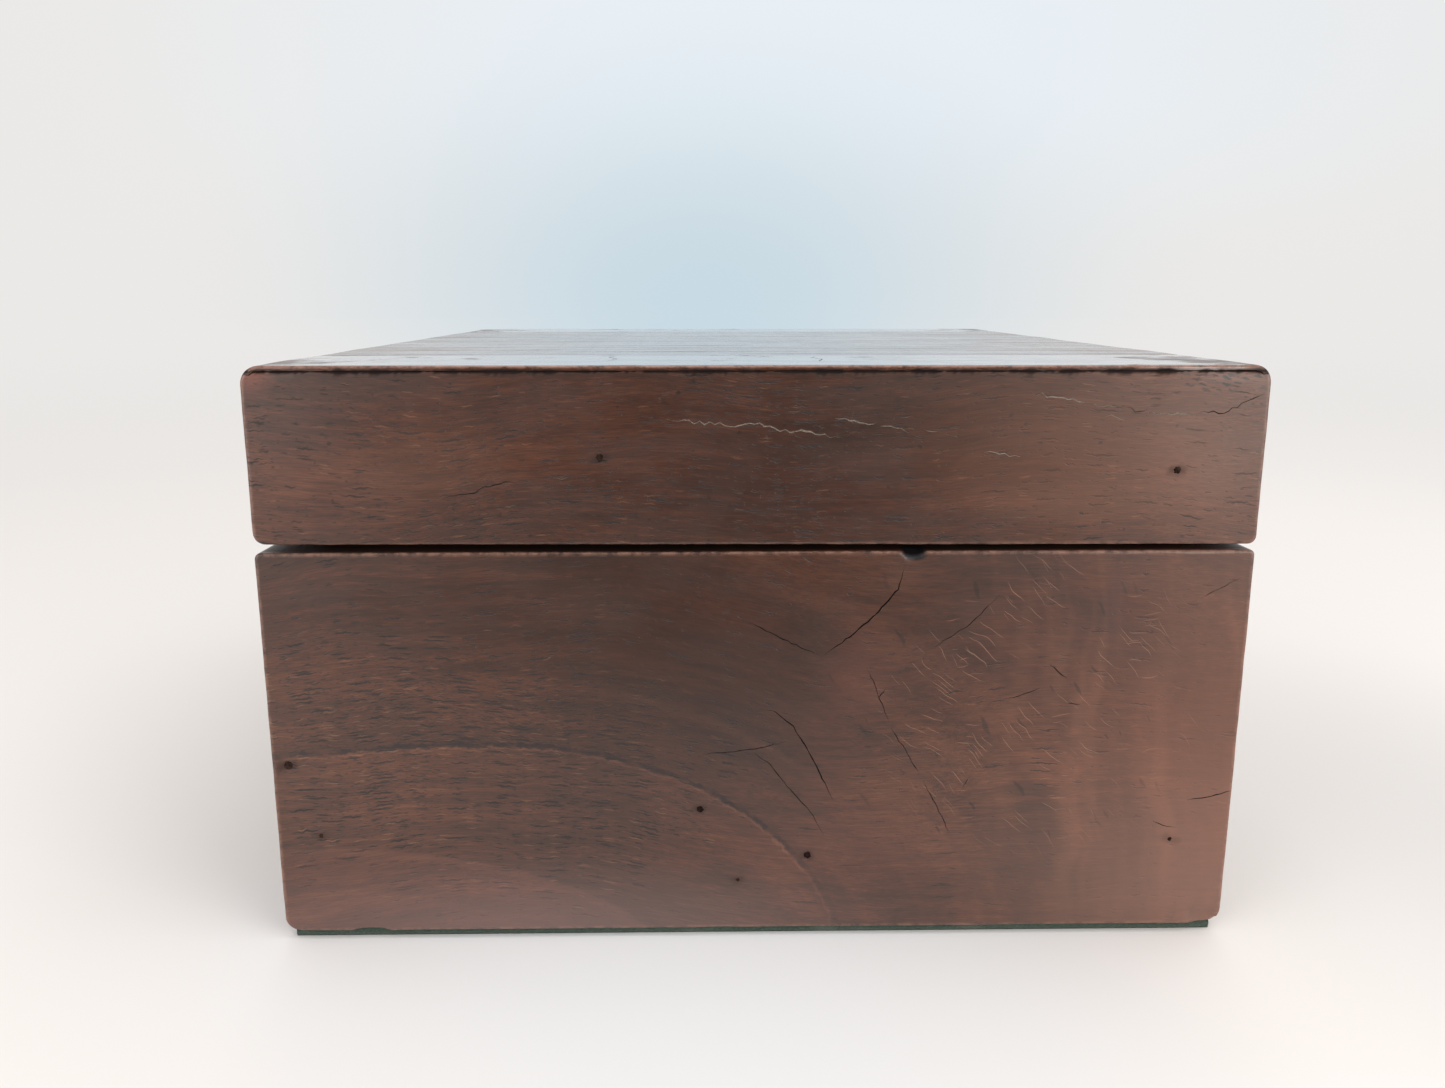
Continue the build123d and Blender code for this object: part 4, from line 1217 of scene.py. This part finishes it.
body_end("body_right_end", 1, MAHOGANY_BODY_END, SEEN_STEP, RIGHT_END_CRACKS, 0, RIGHT_END_DENTS)
body_end("body_left_end", -1, MAHOGANY_LEFT_END, END_STEP, LEFT_END_CRACKS, 20, LEFT_END_DENTS)
body_front()
body_back()
lid_end("lid_right_end", 1, MAHOGANY_LID_END, SEEN_STEP, LID_RIGHT_END_CRACKS,
        LID_RIGHT_END_DENTS)
lid_end("lid_left_end", -1, MAHOGANY_LEFT_END, END_STEP, LID_LEFT_END_CRACKS)
lid_long_board("lid_front", -1, MAHOGANY_FRONT)
lid_long_board("lid_back", 1, MAHOGANY_BACK)
lid_top_board("middle", -TOP_JOINT_X, TOP_JOINT_X, MAHOGANY_TOP, TOP_STEP)
lid_top_board("right", TOP_JOINT_X, END_X, MAHOGANY_TOP_SIDE, 0.8)
lid_top_board("left", -END_X, -TOP_JOINT_X, MAHOGANY_TOP_SIDE, TOP_STEP)


# ---- other materials
def metal(name, base, dirt, roughness, dirt_share=0.5):
    material, t = new_material(name)
    place = t.place()
    blotch = t.noise(place, 0.35, 4, 0.65)
    blotch = t.smooth(blotch, 0.62 - dirt_share * 0.3, 0.72 - dirt_share * 0.1)
    scratch = t.noise(t.stretch(place, (0.25, 6.0, 6.0)), 1.0, 2)
    colour = t.mix(t.times(blotch, 0.75), base, dirt)
    rough = t.times(blotch, 0.3)
    rough = t.plus(rough, t.smooth(scratch, 0.3, 0.7, roughness, roughness + 0.1))
    height = t.minus(t.times(scratch, 0.3), t.times(blotch, 0.5))
    surface(t, colour, rough, height, 0.05, 0.6, Metallic=1.0)
    return material


BRASS = metal("aged_brass", srgb(158, 128, 84), srgb(78, 60, 38), 0.36)
IRON = metal("oxidised_iron", srgb(74, 58, 52), srgb(34, 25, 23), 0.55, 0.9)
TEA_LEAD = metal("tea_lead_foil", srgb(170, 170, 166), srgb(104, 102, 98), 0.42)


def knob_wood():
    material, t = new_material("turned_rosewood")
    place = t.place()
    streak = t.noise(stretched(t, place, "Z", 9.0, 0.7), 1.0, 4, 0.6)
    colour = t.ramp(streak, [(0.35, srgb(28, 14, 12)), (0.5, srgb(54, 27, 20)), (0.66, srgb(88, 46, 30))])
    turned = t.node("ShaderNodeTexWave", {"Vector": place, "Scale": 1.6, "Distortion": 1.5},
                    bands_direction="Z").outputs["Fac"]
    surface(t, colour, t.smooth(streak, 0.3, 0.7, 0.25, 0.4), turned, 0.02, 0.5, Coat_Weight=0.5,
            Coat_Roughness=0.12)
    return material


KNOB_WOOD = knob_wood()


def baize_material():
    material, t = new_material("green_baize")
    place = t.place()
    nap = t.noise(place, 3.0, 5, 0.75)
    worn = t.noise(place, 0.06, 3, 0.6)
    colour = t.mix(t.smooth(nap, 0.3, 0.7), srgb(26, 40, 33), srgb(62, 84, 68))
    colour = t.mix(t.times(t.smooth(worn, 0.5, 0.7), 0.5), colour, srgb(94, 98, 84))
    surface(t, colour, 0.95, nap, 0.3, 0.8, Sheen_Weight=0.35, Sheen_Roughness=0.5)
    return material


BAIZE = baize_material()

SLOT_MATERIALS = {
    "inner_wood": INNER_WOOD, "knob_wood": KNOB_WOOD, "brass": BRASS, "iron": IRON, "tea_lead": TEA_LEAD,
    "baize": BAIZE, "mahogany": MAHOGANY_FRONT,
}
CROSS_GRAIN = ("lining_left", "lining_right", "divider", "left_inner_lid", "right_inner_lid")
for part in frame["record"]["subparts"]:
    node = frame["nodes"][part["node"]]
    chosen = SLOT_MATERIALS[part["material_slot"]]
    if part["node"] in CROSS_GRAIN:
        chosen = INNER_WOOD_Y
    for slot in node.material_slots:
        slot.material = chosen


# ---- baize
def baize():
    """The cloth under the base, with a slightly ragged cut edge."""
    low, high = box_mm("base_baize")
    half_x, half_y = high[0], (high[1] - low[1]) / 2
    xs = ticks(-half_x, half_x, 3.0, True, True)
    ys = ticks(-half_y, half_y, 3.0, True, True)
    points, faces = grid_solid(xs, ys, np.linspace(low[2], high[2], 5))
    x, y, z = points.T
    share = (z - low[2]) / (high[2] - low[2])
    ragged = 0.06 * (1 + ripple(x + 40 * share, y, 301, 5.0))
    ragged = ragged + 0.03 * (1 + ripple(x, y + 9 * z, 303, 1.7))
    bulge = 0.15 * (2 * share - 1) ** 2
    for axis, half in ((0, half_x), (1, half_y)):
        edge = np.abs(np.abs(points[:, axis]) - half) < TOUCHING
        points[edge, axis] -= (np.sign(points[:, axis]) * (ragged + bulge))[edge]
    piece = make_object("base_baize_cloth", points, faces, BAIZE)
    piece.data.shade_smooth()
    piece.data.set_sharp_from_angle(angle=math.radians(50))
    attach(piece, "caddy_body")
    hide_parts("base_baize")


baize()


# ---- floor, backdrop and light
SIDES = srgb(235, 233, 231)
UPPER = srgb(232, 239, 245)
SKY = srgb(200, 218, 228)
ROOM = srgb(24, 23, 24)


def backdrop_colour(t, direction):
    """Off-white all round, with a soft pale blue low in the middle of the far side."""
    x, y, z = t.split(direction)
    ahead = t.smooth(x, -0.2, -0.8)
    high = t.smooth(z, 0.0, 0.16)
    middle = t.fall(t.absolute(t.minus(y, 0.08)), 0.1, 0.62)
    colour = blend(t, SIDES, UPPER, middle, high, ahead)
    side = t.over(y, 0.43)
    up = t.over(z, 0.235)
    low = t.fall(t.length(t.join(side, up, 0.0)), 0.0, 1.0)
    return blend(t, colour, SKY, low, ahead)


def aside(t, x, y):
    """1 straight ahead of the right end, where the room is dark, and 0 well to the sides."""
    slope = t.over(t.absolute(y), t.larger(t.minus(x, 0.05), 0.001))
    return t.times(t.fall(slope, 0.28, 0.75), t.smooth(x, 0.0, 0.06))


def floor():
    """A round floor that fades into the backdrop with distance. The dark room ahead of the right end
    shows in reflections only."""
    radius, rings, sides = 6.0, 24, 96
    points = [(0.0, 0.0, 0.0)]
    angles = [2 * math.pi * i / sides for i in range(sides)]
    for ring in range(1, rings + 1):
        reach = radius * (ring / rings) ** 2 / MM
        points += [(reach * math.cos(angle), reach * math.sin(angle), 0.0) for angle in angles]
    faces = [(0, 1 + i, 1 + (i + 1) % sides) for i in range(sides)]
    for ring in range(rings - 1):
        a = 1 + ring * sides
        for i in range(sides):
            j = (i + 1) % sides
            faces.append((a + i, a + sides + i, a + sides + j, a + j))
    material, t = new_material("studio_floor")
    where = t.node("ShaderNodeTexCoord").outputs["Object"]
    x, y, _ = t.split(t.scale(where, 1 / MM))
    paper_and_painted_light = srgb(237, 233, 230)
    # Painted light and shade on the floor: brighter just ahead of the right end, where the box shades it,
    # and darker beside the back and further ahead, where the lamps light it most.
    for tint, centre, radii in (
        ((234, 235, 236), (190.0, 0.0), (260.0, 110.0)), ((247, 249, 251), (110.0, -20.0), (70.0, 120.0)),
        ((214, 212, 211), (120.0, 190.0), (220.0, 120.0)), ((186, 184, 182), (560.0, 0.0), (360.0, 900.0)),
    ):
        paper_and_painted_light = blend(t, paper_and_painted_light, srgb(*tint), spot(t, x, y, centre, radii))
    diffuse = t.shader("BsdfDiffuse", paper_and_painted_light)
    glow = t.shader("Emission", backdrop_colour(t, t.unit(where)))
    x, y, _ = t.split(where)
    # Far off, and ahead of the right end, the floor glows with the backdrop colour in place of taking the
    # lamps' light.
    far = t.fall(t.over(1.0, t.length(where)), 0.3, 2.4)
    far = t.larger(far, t.smooth(x, 0.18, 0.42))
    shown = t.mix_shader(far, diffuse, glow)
    shade = t.times(aside(t, x, y), t.smooth(x, 0.17, 0.34))
    unseen = t.mix_shader(shade, shown, t.shader("Emission", ROOM))
    t.node("ShaderNodeOutputMaterial", {0: t.seen(shown, unseen)})
    piece = make_object("floor", points, faces, material)


floor()


def world():
    """The backdrop all round, and for reflections the dark room the camera stands in."""
    scene_world = bpy.data.worlds.new("studio")
    bpy.context.scene.world = scene_world
    scene_world.use_nodes = True
    t = Tree(scene_world.node_tree)
    direction = t.unit(t.node("ShaderNodeTexCoord").outputs["Generated"])
    shown = t.shader("Background", backdrop_colour(t, direction))
    x, y, z = t.split(direction)
    front = t.times(aside(t, x, y), t.fall(z, 0.45, 0.8))
    room = t.mix(front, backdrop_colour(t, direction), ROOM)
    unseen = t.shader("Background", room)
    t.node("ShaderNodeOutputWorld", {0: t.seen(shown, unseen)})


world()


def softbox(name, place, target, size, power, colour=(1.0, 1.0, 1.0)):
    lamp = bpy.data.lights.new(name, "AREA")
    lamp.shape, lamp.size, lamp.size_y = "RECTANGLE", size[0], size[1]
    lamp.energy, lamp.color = power, colour
    holder = bpy.data.objects.new(name, lamp)
    holder.location = place
    holder.rotation_euler = (Vector(target) - Vector(place)).to_track_quat("-Z", "Y").to_euler()
    holder.visible_camera = False
    bpy.context.scene.collection.objects.link(holder)


softbox("overhead", (-0.05, 0.35, 1.3), (-0.05, 0.0, 0.0), (1.6, 1.6), 7.0)
softbox("side_right", (0.52, 0.42, 0.18), (0.1, 0.10, 0.04), (0.35, 0.30), 1.9, (1.0, 0.95, 0.90))
softbox("side_left", (0.52, -0.44, 0.18), (0.1, -0.10, 0.04), (0.35, 0.30), 1.4, (1.0, 0.98, 0.97))


# ---- camera
CAMERA_DISTANCE = 199.5     # from the right end's face
CAMERA_SIDE = -9.6          # to the front of the middle of the wood
CAMERA_Z = 118.2
YAW = math.radians(0.955)
PITCH = math.radians(12.06)
LENS = 29.05
SENSOR = 36.0               # width


def camera():
    lens = bpy.data.cameras.new("camera")
    lens.lens, lens.sensor_width, lens.sensor_fit = LENS, SENSOR, "HORIZONTAL"
    lens.clip_start, lens.clip_end = 0.01, 30.0
    holder = bpy.data.objects.new("camera", lens)
    level = math.cos(PITCH)
    forward = Vector((-level * math.cos(YAW), level * math.sin(YAW), -math.sin(PITCH)))
    right = Vector((math.sin(YAW), math.cos(YAW), 0.0))
    up = right.cross(forward)
    turn = Matrix((right, up, -forward)).transposed().to_4x4()
    place = Vector((END_X + CAMERA_DISTANCE, MIDDLE_Y + CAMERA_SIDE, CAMERA_Z)) * MM
    holder.matrix_world = Matrix.Translation(place) @ turn
    bpy.context.scene.collection.objects.link(holder)
    bpy.context.scene.camera = holder


camera()
bpy.context.scene.view_settings.view_transform = "Standard"
